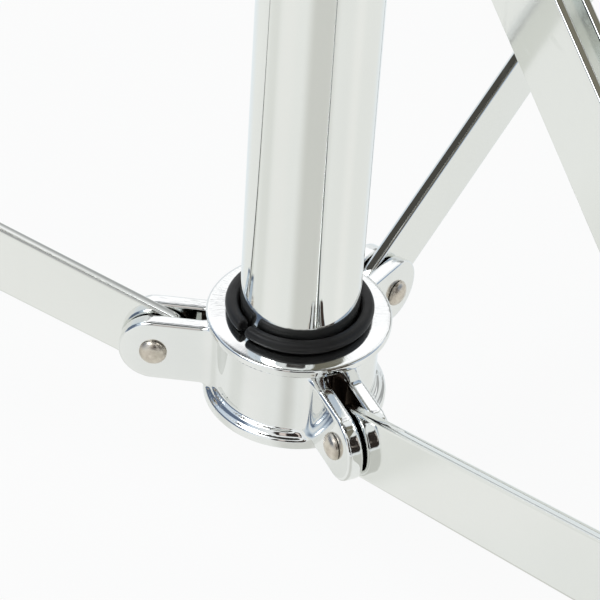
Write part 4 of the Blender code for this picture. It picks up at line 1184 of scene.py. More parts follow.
@dataclass
class TripodLegs:
    """The three braces and the three legs, each a pair of straps in a rubber foot."""

    shop: Workshop
    brace_width: float = 17 * MM
    leg_width: float = 22 * MM
    leg_end: float = LAYOUT.leg_end
    foot_start: float = LAYOUT.leg_end - 28 * MM
    foot_width: float = 19 * MM
    foot_wall: float = 3.2 * MM
    foot_toe: float = 13 * MM
    foot_top: float = 14.5 * MM
    heel_share: float = 0.35
    tread_margin: float = 10 * MM
    tread_groove: float = 1.6 * MM
    tread_pitch: float = 6 * MM

    def strap(self, start: float, end: float, width: float, thickness: float, edge: float,
              holes: Sequence[float], square_end: float = 0.0) -> bpy.types.Mesh:
        """Return a flat strap with round ends and rivet holes.

        Args:
            start: where its first end is along x.
            end: where its other end is along x.
            width: its width.
            thickness: its thickness.
            edge: the rounding of its edges.
            holes: where its rivet holes are along x.
            square_end: the corner radius of the other end, or 0 for a round one.

        Returns:
            The strap's mesh, upright.
        """
        half = width / 2
        outline = arc(start + half, 0, half, 270 * DEG, 90 * DEG, 32)
        if square_end:
            tail = [(end, half, square_end), (end, -half, square_end)]
            outline += rounded([(start + half, half, 0)] + tail + [(start + half, -half, 0)])[1:-1]
        else:
            outline += arc(end - half, 0, half, 90 * DEG, -90 * DEG, 32)
        rings = [arc(x, 0, LAYOUT.rivet_radius + GAP, 0, 350 * DEG, 35) for x in holes]
        return self.shop.plate([outline] + rings, thickness, edge)

    def foot_outline(self) -> list[tuple[float, float]]:
        """Return the side of a rubber foot in the leg's plane: a boot with a flat grooved tread.

        Returns:
            The outline's points in order.
        """
        size = LAYOUT
        joint = size.hub_pivot + size.brace_length * math.sin(size.open_angle)

        def tread(x: float, depth: float = 0.0) -> tuple[float, float]:
            """Return the point over the floor at a place along the leg."""
            return x, (x * math.sin(size.open_angle) - joint + depth) / math.cos(size.open_angle)

        half = self.leg_width / 2 + self.foot_wall
        toe = self.leg_end + self.foot_toe
        heel_point = tread(self.foot_start + self.heel_share * (toe - self.foot_start))
        toe_point = tread(toe - 2 * MM)
        corners = [(self.foot_start, half, 1.5 * MM), (self.foot_start, -half, 1.5 * MM), (*heel_point, 2.5 * MM)]
        length = toe_point[0] - heel_point[0]
        grooves = int((length - self.tread_margin) / self.tread_pitch)
        first = heel_point[0] + (length - (grooves - 1) * self.tread_pitch) / 2
        for index in range(grooves):
            for share, depth in ((-1, 0), (-0.6, 1), (0.6, 1), (1, 0)):
                spot = first + index * self.tread_pitch + share * self.tread_groove / 2
                corners.append((*tread(spot, depth * self.tread_groove), 0))
        corners += [(*toe_point, 2.5 * MM), (toe, toe_point[1] + 9 * MM, 4 * MM), (toe - 5 * MM, half - MM, 7 * MM)]
        return rounded(corners, 32)

    def foot(self) -> bpy.types.Mesh:
        """Return a rubber foot with a pocket for each strap.

        Returns:
            A closed mesh in the leg's frame.
        """
        outline = self.foot_outline()
        shift = (LAYOUT.leg_gap + LAYOUT.strap_thickness) / 2
        depth = LAYOUT.strap_thickness / 2 + GAP
        half = self.leg_width / 2 + GAP

        def field(points: np.ndarray) -> np.ndarray:
            """Return the distance to the foot.

            Args:
                points: where to measure.

            Returns:
                The distances, negative inside.
            """
            whole = prism(points, outline, self.foot_width / 2, 1.8 * MM)
            mirrored = points * (1, 0, 1) + np.abs(points) * (0, 1, 0)
            pocket = block(mirrored, (self.foot_start - CLEAR, shift - depth, -half),
                           (self.leg_end + GAP, shift + depth, half))
            return carve(whole, pocket)

        low = min(y for _, y in outline)
        return sculpt(field, (self.foot_start, -self.foot_width / 2, low),
                      (self.leg_end + self.foot_toe, self.foot_width / 2, self.foot_top), 0.55 * MM)

    def build(self) -> None:
        """Build the braces, the legs, their rivets and the feet."""
        size, shop = LAYOUT, self.shop
        half_brace, half_leg = self.brace_width / 2, self.leg_width / 2
        brace = self.strap(-half_brace, size.brace_length + half_brace, self.brace_width, size.brace_thickness,
                           0.8 * MM, (0, size.brace_length))
        strap = self.strap(-size.brace_length - half_leg, self.leg_end, self.leg_width, size.strap_thickness,
                           0.35 * MM, (-size.brace_length, 0), 4 * MM)
        rivet = rivet_mesh(shop, size.leg_stack)
        foot = self.foot()
        shift = (size.leg_gap + size.strap_thickness) / 2
        for number in (1, 2, 3):
            brace_at, leg_at = size.brace_frame(number), size.leg_frame(number)
            shop.show(f"brace_strap_{number}", brace, brace_at, CHROME, f"brace_{number}", f"brace_{number}")
            for side, way in (("left", 1), ("right", -1)):
                shop.show(f"leg_blade_{number}_{side}", strap, leg_at @ place(y=way * shift), CHROME,
                          f"leg_{number}", f"leg_{number}_strap_{side}")
            shop.show(f"knee_rivet_{number}", rivet, leg_at @ sideways(), RIVET_STEEL, f"leg_{number}",
                      f"leg_{number}_joint_rivet")
            shop.show(f"rubber_boot_{number}", foot, leg_at, RUBBER, f"leg_{number}", f"foot_{number}")


@dataclass
class Collar:
    """The upper collar with its bush, its rivets and its wing bolt."""

    shop: Workshop
    rise: float = 27 * MM
    top_radius: float = 22 * MM
    ear_radius: float = 9 * MM
    boss_radius: float = 7 * MM
    boss_reach: float = 28 * MM
    boss_rise: float = 17 * MM
    root_fillet: float = 3.6 * MM
    rim_fillet: float = 1.6 * MM
    core_radius: float = 3.6 * MM

    def field(self, points: np.ndarray) -> np.ndarray:
        """Return the distance to the collar casting.

        Args:
            points: where to measure.

        Returns:
            The distances, negative inside.
        """
        size = LAYOUT
        top, bottom = size.collar_pivot + self.rise, size.collar_pivot - size.pivot_depth
        whole = rod(points, size.waist_radius, bottom + 0.5 * MM, top - 0.5 * MM)
        forks = np.minimum.reduce([
            ears(points, azimuth, size.collar_pivot, size.collar_gap, size.collar_gap + 2 * size.ear_thickness,
                 self.ear_radius) for azimuth in size.azimuths])
        whole = blend(whole, forks, self.root_fillet)
        local = seen_from(points, radial(0, size.collar_pivot + self.boss_rise))
        whole = blend(whole, rod(local, self.boss_radius, 10 * MM, self.boss_reach, 0.8 * MM), 3 * MM)
        upper = rod(points, self.top_radius, top - size.flange_thickness, top, size.rim_edge)
        lower = rod(points, size.flange_radius, bottom, bottom + size.flange_thickness, size.rim_edge)
        whole = blend(blend(whole, upper, self.rim_fillet), lower, self.rim_fillet)
        whole = carve(whole, rod(points, size.bore_radius, bottom - MM, top + MM), 0.6 * MM)
        whole = carve(whole, rod(local, BOLT_HOLE, *RADIAL_CUT))
        for azimuth in size.azimuths:
            whole = carve(whole, pin_hole(points, azimuth, size.collar_pivot), 0.3 * MM)
        return whole

    def bush(self, points: np.ndarray) -> np.ndarray:
        """Return the distance to the collar's bush, its bead under the casting.

        Args:
            points: where to measure.

        Returns:
            The distances, negative inside.
        """
        size = LAYOUT
        whole = split_bush(points, size.collar_pivot - size.pivot_depth, -1, size.pivot_depth + self.rise - MM)
        local = seen_from(points, radial(0, size.collar_pivot + self.boss_rise))
        return carve(whole, rod(local, BOLT_HOLE, *RADIAL_CUT), 0.4 * MM)

    def build(self) -> None:
        """Build the casting, the bush, the rivets with their spacers and the wing bolt."""
        size, shop = LAYOUT, self.shop
        reach = size.pivot_radius + self.ear_radius
        bottom, top = size.collar_pivot - size.pivot_depth, size.collar_pivot + self.rise
        casting = sculpt(self.field, (-reach, -reach, bottom), (self.boss_reach, reach, top), COARSE_CELL)
        shop.show("sliding_collar_casting", casting, Matrix(), CAST_CHROME, "collar", "upper_collar")
        rim = size.bush_reach
        bush = sculpt(self.bush, (-rim, -rim, bottom - 7 * MM), (rim, rim, top - MM))
        shop.show("sliding_collar_bush", bush, Matrix(), BLACK_NYLON, "collar", "collar_bushing")
        rivet = rivet_mesh(shop, size.collar_gap + 2 * size.ear_thickness)
        half = size.leg_gap / 2 - GAP
        spacer = shop.ring(size.rivet_radius, size.rivet_radius + 1.8 * MM, -half, half, 0.2 * MM, 48)
        for number in (1, 2, 3):
            spot = size.arm(number) @ place(x=size.pivot_radius, z=size.collar_pivot) @ sideways()
            shop.show(f"collar_fork_rivet_{number}", rivet, spot, RIVET_STEEL, "collar", f"collar_rivet_{number}")
            shop.show(f"collar_fork_spacer_{number}", spacer, spot, RIVET_STEEL, "collar", f"collar_rivet_{number}")
        bolt_at = radial(0, size.collar_pivot + self.boss_rise) @ place(z=self.boss_reach + GAP)
        shop.show("collar_wing_grip", WingGrip().mesh(), bolt_at, ZINC, "collar_wing_bolt", "collar_wing_bolt")
        length = self.boss_reach - size.tube_radius
        shank = shop.ring(0, self.core_radius, -length, EDGE, 0.4 * MM, 40)
        shop.show("collar_wing_shank", shank, bolt_at, ZINC, "collar_wing_bolt", "collar_wing_bolt")
        thread = shop.thread(BOLT_RADIUS, length - 1.5 * MM, BOLT_PITCH)
        shop.show("collar_wing_thread", thread, bolt_at @ place(z=-length + 0.6 * MM), ZINC, "collar_wing_bolt",
                  "collar_wing_bolt")


@dataclass
class BaseClamp:
    """The clamp on top of the base tube with its bush, bolt and wing nut."""

    shop: Workshop
    grip_length: float = 26 * MM
    height: float = 62 * MM
    radius: float = 18.6 * MM
    ear_reach: float = 43.5 * MM
    ear_half: float = 10 * MM
    ear_thickness: float = 8 * MM
    slit: float = 3 * MM
    bolt_radius: float = 3 * MM
    bolt_radial: float = 35 * MM
    bolt_drop: float = 22 * MM
    bolt_end: float = 15 * MM
    head_radius: float = 5.2 * MM
    head_height: float = 4 * MM
    core_share: float = 0.86
    relief: float = 0.8 * MM
    bush_drop: float = 10 * MM
    thread_length: float = 14 * MM

    @property
    def bottom(self) -> float:
        """Height of the clamp's underside."""
        return LAYOUT.tube_top - self.grip_length

    @property
    def top(self) -> float:
        """Height of the clamp's top."""
        return self.bottom + self.height

    @property
    def bolt_at(self) -> Matrix:
        """Frame of the bolt's middle."""
        return place(x=self.bolt_radial, z=self.top - self.bolt_drop)

    def field(self, points: np.ndarray) -> np.ndarray:
        """Return the distance to the clamp casting.

        Args:
            points: where to measure.

        Returns:
            The distances, negative inside.
        """
        size = LAYOUT
        whole = rod(points, self.radius, self.bottom, self.top, MM)
        local = seen_from(points, place(z=self.top - self.bolt_drop))
        half, reach = self.ear_half, self.ear_reach
        outline = rounded([(15 * MM, -half, 0), (reach, -half, 0.8 * half), (reach, half, 0.8 * half),
                           (15 * MM, half, 0)], 32)
        whole = blend(whole, prism(local, outline, self.slit / 2 + self.ear_thickness, 1.4 * MM), 3 * MM)
        upper = size.tube_radius + self.relief + GAP
        whole = carve(whole, rod(points, size.tube_radius + GAP, self.bottom - CLEAR, size.tube_top))
        whole = carve(whole, rod(points, upper, size.tube_top, self.top + CLEAR))
        gap = block(points, (size.mast_radius, -self.slit / 2, size.tube_top + MM),
                    (reach + CLEAR, self.slit / 2, self.top + CLEAR))
        whole = carve(whole, gap, 0.6 * MM)
        hole = rod(seen_from(points, self.bolt_at @ sideways()), self.bolt_radius + GAP, -THROUGH, THROUGH)
        return carve(whole, hole)

    def build(self) -> None:
        """Build the casting, the bush, the bolt and the wing nut."""
        size, shop = LAYOUT, self.shop
        wide = self.radius
        casting = sculpt(self.field, (-wide, -wide, self.bottom), (self.ear_reach, wide, self.top), COARSE_CELL)
        shop.show("height_clamp_casting", casting, Matrix(), CAST_CHROME, "base", "base_clamp")
        inner, outer = size.mast_radius + GAP, size.tube_radius + self.relief
        sleeve = size.tube_radius - size.tube_wall - GAP
        flange, head, foot = size.tube_top + GAP, self.top - MM, self.bottom - self.bush_drop
        bush = shop.turned([(inner, head), (outer, head), (outer, flange), (sleeve, flange), (sleeve, foot),
                            (inner, foot)], 0.3 * MM, 96)
        shop.show("height_clamp_bush", bush, Matrix(), BLACK_NYLON, "base", "base_clamp_bushing")
        face = self.slit / 2 + self.ear_thickness
        head, end = face + GAP, -(face + GAP + self.bolt_end)
        top, core = head + self.head_height, self.core_share * self.bolt_radius
        bolt = shop.turned([(0, top), (self.head_radius, top), (self.head_radius, head), (self.bolt_radius, head),
                            (self.bolt_radius, -head), (core, -head), (core, end), (0, end)], EDGE, 48)
        shop.show("height_clamp_bolt", bolt, self.bolt_at @ sideways(), ZINC, "base", "base_clamp_bolt")
        thread = shop.thread(self.bolt_radius, self.thread_length, MM)
        shop.show("height_clamp_thread", thread, self.bolt_at @ sideways(end + 0.6 * MM), ZINC, "base",
                  "base_clamp_bolt")
        nut_at = self.bolt_at @ place(y=-face - GAP) @ turn(90 * DEG, "X")
        shop.show("height_clamp_wing_nut", WingGrip().mesh(self.bolt_radius + GAP), nut_at, ZINC,
                  "base_clamp_wing_nut", "base_clamp_wing_nut")


@dataclass
class Mast:
    """The memory lock, the middle tube and the double holder."""

    shop: Workshop
    lock_bottom: float = 596.25 * MM
    lock_height: float = 14 * MM
    lock_radius: float = 17 * MM
    lock_arm: float = 11 * MM
    lock_ear: float = 4.5 * MM
    key_radius: float = 2.5 * MM
    key_collar: float = 4.5 * MM
    key_half: float = 2.2 * MM
    slit: float = 3 * MM
    bottom: float = 330 * MM
    top: float = 900 * MM
    wall: float = 1.4 * MM
    upper_boom: float = 1000 * MM
    lower_boom: float = 940 * MM
    plate_thickness: float = 14 * MM
    boss_radius: float = 16.5 * MM
    waist: float = 11 * MM
    sleeve_radius: float = 15.4 * MM
    sleeve_drop: float = 42 * MM
    sleeve_rise: float = 7 * MM

    @property
    def lock_reach(self) -> float:
        """Reach of the memory lock's ears from the axis."""
        return self.lock_radius + self.lock_arm

    def lock_field(self, points: np.ndarray) -> np.ndarray:
        """Return the distance to the memory lock, about its middle.

        Args:
            points: where to measure.

        Returns:
            The distances, negative inside.
        """
        half = self.lock_height / 2
        inner, reach, ear = LAYOUT.mast_radius + GAP, self.lock_reach, half - 0.5 * MM
        whole = rod(points, self.lock_radius, -half, half, MM)
        outline = rounded([(inner, -ear, 0), (reach, -ear, 0.9 * ear), (reach, ear, 0.9 * ear), (inner, ear, 0)], 32)
        whole = blend(whole, prism(points, outline, self.slit / 2 + self.lock_ear, MM), 2 * MM)
        whole = carve(whole, rod(points, inner, -THROUGH, THROUGH))
        whole = carve(whole, block(points, (8 * MM, -self.slit / 2, -THROUGH), (40 * MM, self.slit / 2, THROUGH)))
        hole = rod(seen_from(points, place(x=reach - ear) @ sideways()), self.key_radius + GAP, -THROUGH, THROUGH)
        return carve(whole, hole, 0.4 * MM)

    def holder_field(self, points: np.ndarray) -> np.ndarray:
        """Return the distance to the double holder.

        Args:
            points: where to measure.

        Returns:
            The distances, negative inside.
        """
        ceiling = self.top + GAP
        foot, head = ceiling - self.sleeve_drop, ceiling + self.sleeve_rise
        whole = rod(points, self.sleeve_radius, foot, head, 3 * MM)
        bead = rod(points, self.sleeve_radius + MM, foot + 0.3 * MM, foot + 4.6 * MM, MM)
        spread = self.upper_boom - self.lower_boom
        lean = math.acos((self.boss_radius - self.waist) / (spread / 2))
        outline = arc(0, spread, self.boss_radius, 90 * DEG, 90 * DEG - lean, 16)
        outline += [(self.waist, spread / 2)]
        outline += arc(0, 0, self.boss_radius, 35 * DEG, -35 * DEG, 10)
        outline += [(self.waist, head - 5 * MM - self.lower_boom)]
        outline += [(-x, y) for x, y in reversed(outline) if x > 0.01 * MM]
        local = seen_from(points, place(z=self.lower_boom))
        web = prism(local, outline, self.plate_thickness / 2, 1.3 * MM)
        whole = blend(blend(whole, bead, 0.8 * MM), web, 4 * MM)
        whole = carve(whole, rod(points, LAYOUT.mast_radius + GAP, foot - CLEAR, ceiling))
        for height in (0, spread):
            hole = rod(seen_from(local, place(z=height) @ sideways()), BOLT_HOLE, -THROUGH, THROUGH)
            whole = carve(whole, hole, 0.6 * MM)
        return whole

    def build(self) -> None:
        """Build the lock, its screw, the middle tube and the holder."""
        size, shop = LAYOUT, self.shop
        half = self.lock_height / 2
        lock_at = place(z=self.lock_bottom + half)
        reach, wide = self.lock_reach, self.lock_radius
        lock = sculpt(self.lock_field, (-wide, -wide, -half), (reach, wide, half))
        shop.show("memory_lock_ring", lock, lock_at, CAST_CHROME, "memory_lock", "memory_lock")
        head, collar, core = self.slit / 2 + self.lock_ear + GAP, self.key_collar, self.key_radius
        key_at = lock_at @ place(x=reach - half + 0.5 * MM) @ sideways()
        key = shop.turned([(0, head + 2 * MM), (collar, head + 2 * MM), (collar, head), (core, head),
                           (core, -head + GAP), (0, -head + GAP)], 0.3 * MM, 48)
        shop.show("memory_lock_key_screw", key, key_at, ZINC, "memory_lock", "memory_lock_screw")
        low = (-self.key_half, -self.key_half, head + 1.9 * MM)
        high = (self.key_half, self.key_half, head + 8 * MM)
        square = sculpt(lambda points: block(points, low, high, 0.4 * MM), low, high, 0.2 * MM)
        shop.show("memory_lock_key_square", square, key_at, ZINC, "memory_lock", "memory_lock_screw")
        tube = shop.ring(size.mast_radius - self.wall, size.mast_radius, self.bottom, self.top, flats=112)
        shop.show("polished_middle_tube", tube, Matrix(), CHROME, "mast", "middle_tube")
        wide = self.boss_radius
        holder = sculpt(self.holder_field, (-wide, -wide, self.top - self.sleeve_drop),
                        (wide, wide, self.upper_boom + wide), COARSE_CELL)
        shop.show("double_boom_holder", holder, Matrix(), CAST_CHROME, "mast", "double_holder")


@dataclass
class Boom:
    """One boom: its swivel, its rod, the tilter and the cymbal seat."""

    shop: Workshop
    word: str
    heading: float
    height: float
    pitch: float = 18 * DEG
    radius: float = 6.35 * MM
    wall: float = 1.5 * MM
    offset: float = 24 * MM
    reach: float = 462 * MM
    tail: float = 75 * MM
    swivel_radius: float = 15 * MM
    eye_radius: float = 10.8 * MM
    eye_width: float = 10 * MM
    face: float = 7.25 * MM
    disc_radius: float = 13 * MM
    head_thickness: float = 11 * MM
    socket_radius: float = 9.5 * MM
    post_radius: float = 4 * MM
    post_top: float = 80 * MM
    boss_top: float = 26 * MM
    core_radius: float = 3.55 * MM
    socket_depth: float = 24 * MM
    socket_band: float = 5 * MM
    bolt_tail: float = 16 * MM
    cap_wall: float = 1.6 * MM
    cap_end: float = 2 * MM
    cap_grip: float = 14 * MM
    sleeve_radius: float = 6 * MM
    sleeve_height: float = 28.25 * MM
    cup_radius: float = 16 * MM
    cup_foot: float = 11 * MM
    cup_height: float = 3 * MM
    felt_radius: float = 19 * MM
    felt_height: float = 12 * MM
    lean: float = 8 * DEG

    @property
    def axis(self) -> Matrix:
        """Frame of the boom's pitch joint, with x along the rod."""
        return turn(self.heading, "Z") @ place(z=self.height) @ turn(-self.pitch, "Y")

    @property
    def rod_axis(self) -> Matrix:
        """Frame of the rod."""
        return self.axis @ place(y=self.offset)

    @property
    def tilter_place(self) -> float:
        """Place of the tilter's joint along the rod."""
        return self.reach + 4.5 * MM + self.disc_radius

    @property
    def head_axis(self) -> Matrix:
        """Frame of the tilter head, with z along the post."""
        return self.rod_axis @ place(x=self.tilter_place) @ turn(self.pitch + self.lean, "Y")

    def swivel_field(self, points: np.ndarray) -> np.ndarray:
        """Return the distance to the swivel block.

        Args:
            points: where to measure.

        Returns:
            The distances, negative inside.
        """
        across = seen_from(points, sideways())
        whole = rod(across, self.swivel_radius, self.face, self.offset, 1.3 * MM)
        saddle = rod(seen_from(points, place(y=self.offset) @ turn(90 * DEG, "Y")), self.radius + GAP, -1, 1)
        pocket = self.eye_radius + GAP
        slot = block(points, (-self.eye_width / 2 - GAP, self.offset - pocket, -pocket),
                     (self.eye_width / 2 + GAP, self.offset + CLEAR, pocket))
        whole = carve(carve(whole, saddle, 0.8 * MM), slot, 0.6 * MM)
        return carve(whole, rod(across, BOLT_HOLE, -CLEAR, self.offset), 0.4 * MM)

    def eye_field(self, points: np.ndarray) -> np.ndarray:
        """Return the distance to the eye of the eye bolt.

        Args:
            points: where to measure.

        Returns:
            The distances, negative inside.
        """
        along = seen_from(points, place(y=self.offset) @ turn(90 * DEG, "Y"))
        whole = rod(along, self.eye_radius, -self.eye_width / 2, self.eye_width / 2, 1.6 * MM)
        shank = rod(seen_from(points, sideways()), self.post_radius, self.face, self.offset - self.radius - MM)
        whole = blend(whole, shank, 2 * MM)
        return carve(whole, rod(along, self.radius + GAP, -1, 1), 0.6 * MM)

    def base_field(self, points: np.ndarray) -> np.ndarray:
        """Return the distance to the tilter's base, along the rod.

        Args:
            points: where to measure.

        Returns:
            The distances, negative inside.
        """
        along = seen_from(points, turn(90 * DEG, "Y"))
        start, end = self.reach - self.socket_depth, self.reach + 3 * MM
        whole = rod(along, self.socket_radius, start, end, 1.4 * MM)
        ring = rod(along, self.socket_radius, start, start + self.socket_band, 0.6 * MM)
        ear = self.socket_radius - 1.5 * MM
        begin = math.asin(ear / self.disc_radius)
        outline = [(self.reach + MM, -ear)]
        outline += arc(self.tilter_place, 0, self.disc_radius, begin - math.pi, math.pi - begin, 28)
        outline += [(self.reach + MM, ear)]
        half = self.socket_radius / 2
        tongue = prism(seen_from(points, place(y=-half)), outline, half, 0.9 * MM)
        whole = blend(np.minimum(whole, ring), tongue, 1.6 * MM)
        limit = np.where(points[:, 0] > self.reach + 4 * MM, points[:, 1], -1)
        whole = np.maximum(whole, limit)
        whole = carve(whole, rod(along, self.radius + GAP, start - CLEAR, self.reach + GAP))
        hole = rod(seen_from(points, place(x=self.tilter_place) @ sideways()), PIN_HOLE, -THROUGH, THROUGH)
        return carve(whole, hole)

    def head_field(self, points: np.ndarray) -> np.ndarray:
        """Return the distance to the tilter head without its post.

        Args:
            points: where to measure.

        Returns:
            The distances, negative inside.
        """
        centre = self.head_thickness / 2 + GAP
        across = seen_from(points, sideways())
        whole = rod(across, self.disc_radius, GAP, self.head_thickness + GAP, 0.9 * MM)
        neck = rod(seen_from(points, place(y=centre)), centre - 0.9 * MM, 9 * MM, self.boss_top, 0.8 * MM)
        whole = blend(whole, neck, 3 * MM)
        whole = np.maximum(whole, GAP - points[:, 1])
        return carve(whole, rod(across, PIN_HOLE, -THROUGH, THROUGH))

    def build(self) -> None:
        """Build the boom with everything on it."""
        shop, word = self.shop, self.word
        boom, rod_body, head_body = f"boom_{word}", f"boom_{word}_rod", f"tilter_{word}_head"
        wide = self.swivel_radius
        swivel = sculpt(self.swivel_field, (-wide, self.face, -wide), (wide, self.offset, wide))
        shop.show(f"swivel_block_{word}", swivel, self.axis, CAST_CHROME, boom, f"boom_{word}_swivel")
        eye = self.eye_radius
        bolt = sculpt(self.eye_field, (-eye, self.face, -eye), (eye, self.offset + eye, eye), 0.45 * MM)
        shop.show(f"boom_eye_{word}", bolt, self.axis, CHROME, boom, f"boom_{word}_eyebolt")
        tail = self.face + self.bolt_tail
        shank = shop.ring(0, 3.5 * MM, -tail, self.face + MM, 0.6 * MM, 40)
        shop.show(f"boom_eye_shank_{word}", shank, self.axis @ sideways(), ZINC, boom, f"boom_{word}_eyebolt")
        thread = shop.thread(BOLT_RADIUS, tail + 5 * MM, BOLT_PITCH)
        shop.show(f"boom_eye_thread_{word}", thread, self.axis @ sideways(0.8 * MM - tail), ZINC, boom,
                  f"boom_{word}_eyebolt")
        nut = WingGrip().mesh(BOLT_HOLE)
        nut_at = self.axis @ place(y=-self.face) @ turn(90 * DEG, "X")
        shop.show(f"boom_lock_nut_{word}", nut, nut_at, ZINC, f"boom_{word}_wing_nut", f"boom_{word}_wing_nut")
        self.build_rod(rod_body)
        self.build_head(head_body, nut)

    def build_rod(self, body: str) -> None:
        """Build the rod, its end cap, the tilter's base and its wing bolt.

        Args:
            body: the rod's body.
        """
        shop, word = self.shop, self.word
        lie = self.rod_axis @ turn(90 * DEG, "Y")
        tube = shop.ring(self.radius - self.wall, self.radius, -self.tail, self.reach, flats=80)
        shop.show(f"polished_boom_rod_{word}", tube, lie, CHROME, body, f"boom_{word}_rod")
        cap, end = self.radius + GAP, -self.tail - GAP
        outer = cap + self.cap_wall
        low, high = end - self.cap_end, end + self.cap_grip
        section = [(0, low), (outer, low), (outer, high), (cap, high), (cap, end), (0, end)]
        shop.show(f"rod_end_cap_{word}", shop.turned(section, 0.5 * MM, 72), lie, RUBBER, body,
                  f"boom_{word}_end_cap")
        wide = self.disc_radius
        base = sculpt(self.base_field, (self.reach - self.socket_depth, -wide, -wide),
                      (self.tilter_place + wide, self.socket_radius, wide))
        shop.show(f"tilter_socket_{word}", base, self.rod_axis, CAST_CHROME, body, f"tilter_{word}_base")
        bolt_at = self.rod_axis @ place(x=self.tilter_place, y=-self.socket_radius - GAP) @ turn(90 * DEG, "X")
        bolt_body = f"tilter_{word}_wing_bolt"
        shop.show(f"tilter_grip_{word}", WingGrip().mesh(), bolt_at, ZINC, bolt_body, bolt_body)
        length = self.socket_radius + self.head_thickness
        shank = shop.ring(0, 3 * MM, -length, 0.5 * MM, 0.4 * MM, 40)
        shop.show(f"tilter_grip_shank_{word}", shank, bolt_at, ZINC, bolt_body, bolt_body)

    def build_head(self, body: str, nut: bpy.types.Mesh) -> None:
        """Build the tilter head, the post, the seat, the felts and the top wing nut.

        Args:
            body: the tilter head's body.
            nut: the wing nut's mesh.
        """
        shop, word = self.shop, self.word
        wide = self.disc_radius
        head = sculpt(self.head_field, (-wide, 0, -wide), (wide, self.head_thickness + GAP, self.boss_top))
        shop.show(f"tilter_disc_{word}", head, self.head_axis, CAST_CHROME, body, f"tilter_{word}_head")
        post = self.head_axis @ place(y=self.head_thickness / 2 + GAP)
        seat_bottom = self.boss_top + GAP
        seat_top = seat_bottom + self.cup_height
        sleeve_top = seat_top + self.sleeve_height
        slim, full, foot = self.core_radius, self.post_radius, self.boss_top - MM
        core = shop.turned([(0, self.post_top), (slim, self.post_top), (slim, sleeve_top - 6 * MM),
                            (full, sleeve_top - 6.6 * MM), (full, foot), (0, foot)], 0.25 * MM, 48)
        shop.show(f"cymbal_post_{word}", core, post, ZINC, body, f"tilter_{word}_head")
        thread = shop.thread(self.post_radius, self.post_top - sleeve_top + 4 * MM, BOLT_PITCH)
        shop.show(f"cymbal_post_thread_{word}", thread, post @ place(z=sleeve_top - 5 * MM), ZINC, body,
                  f"tilter_{word}_head")
        bore, wall, cup = self.post_radius + GAP, self.sleeve_radius, self.cup_radius
        seat = shop.turned([(bore, sleeve_top), (wall, sleeve_top), (wall, seat_top), (cup, seat_top),
                            (cup - 0.6 * MM, seat_bottom + MM), (self.cup_foot, seat_bottom), (bore, seat_bottom)],
                           0.6 * MM, 96)
        shop.show(f"cymbal_cup_{word}", seat, post, BLACK_NYLON, body, f"cymbal_seat_{word}")
        felt = shop.ring(self.sleeve_radius + GAP, self.felt_radius, 0, self.felt_height, 1.6 * MM, 96)
        for spot, rise in (("lower", seat_top + GAP), ("upper", sleeve_top - self.felt_height)):
            shop.show(f"{spot}_felt_ring_{word}", felt, post @ place(z=rise), FELT, body, f"{spot}_felt_{word}")
        nut_name = f"top_wing_nut_{word}"
        shop.show(f"cymbal_nut_{word}", nut, post @ place(z=sleeve_top + GAP), ZINC, nut_name, nut_name)


@dataclass(frozen=True)
class Patch:
    """A patch of the room, by bearing and rise in degrees; bearing -90 is the side of the camera."""

    bearing: float
    half_width: float
    low: float
    high: float
    soft: float
    colour: tuple[float, float, float]

    def lay(self, kit: NodeKit, bearing: Socket, rise: Socket | None, under: Socket) -> Socket:
        """Return a colour with this patch laid over it.

        Args:
            kit: the world's or the floor's nodes.
            bearing: the bearing of the direction or spot seen.
            rise: its angle over the horizon, or None on the floor.
            under: the colour so far.

        Returns:
            The new colour socket.
        """
        off = kit.sum("SUBTRACT", bearing, self.bearing)
        away = kit.sum("ABSOLUTE", kit.sum("WRAP", off, 180.0, -180.0))
        edges = ((away, self.half_width + self.soft, self.half_width - self.soft),
                 (rise, self.low - self.soft, self.low + self.soft),
                 (rise, self.high + self.soft, self.high - self.soft))[:3 if rise else 1]
        masks = [kit.span(*edge, kind="SMOOTHSTEP") for edge in edges]
        whole = reduce(lambda first, second: kit.sum("MULTIPLY", first, second), masks)
        return kit.mix(whole, under, (*self.colour, 1))


ROOM_PATCHES = (
    Patch(180, 45, 2, 54, 12, (0.62, 0.72, 0.84)),
    Patch(182, 33, 1, 36, 6, (0.13, 0.17, 0.25)),
    Patch(0, 26, 4, 44, 9, (0.50, 0.60, 0.74)),
    Patch(2, 15, 4, 28, 7, (0.26, 0.33, 0.44)),
    Patch(93, 40, 24, 56, 4, (1.22, 1.22, 1.24)),
    Patch(55, 22, 12, 30, 4, (0.40, 0.41, 0.41)),
    Patch(108, 26, 49, 62, 4, (0.22, 0.23, 0.25)),
    Patch(-6, 44, 47, 92, 3, (0.20, 0.19, 0.15)),
    Patch(166, 44, 56, 92, 3, (0.070, 0.068, 0.060)),
    Patch(0, 200, 72, 92, 3, (0.03, 0.03, 0.028)),
    Patch(-90, 21, 7, 53, 2, (0.030, 0.024, 0.022)),
    Patch(-100, 4, 18, 46, 1, (0.72, 0.64, 0.60)),
    Patch(-39, 17, -3, 47, 1.5, (0.050, 0.034, 0.028)),
    Patch(-43, 2.5, 13, 18, 1, (0.90, 0.90, 0.90)),
    Patch(-33, 1.5, 22, 25, 1, (0.90, 0.90, 0.90)),
    Patch(-36, 1.2, 34, 36, 0.8, (0.62, 0.58, 0.54)),
    Patch(-84, 2.0, 24, 28, 1, (0.46, 0.40, 0.36)),
)
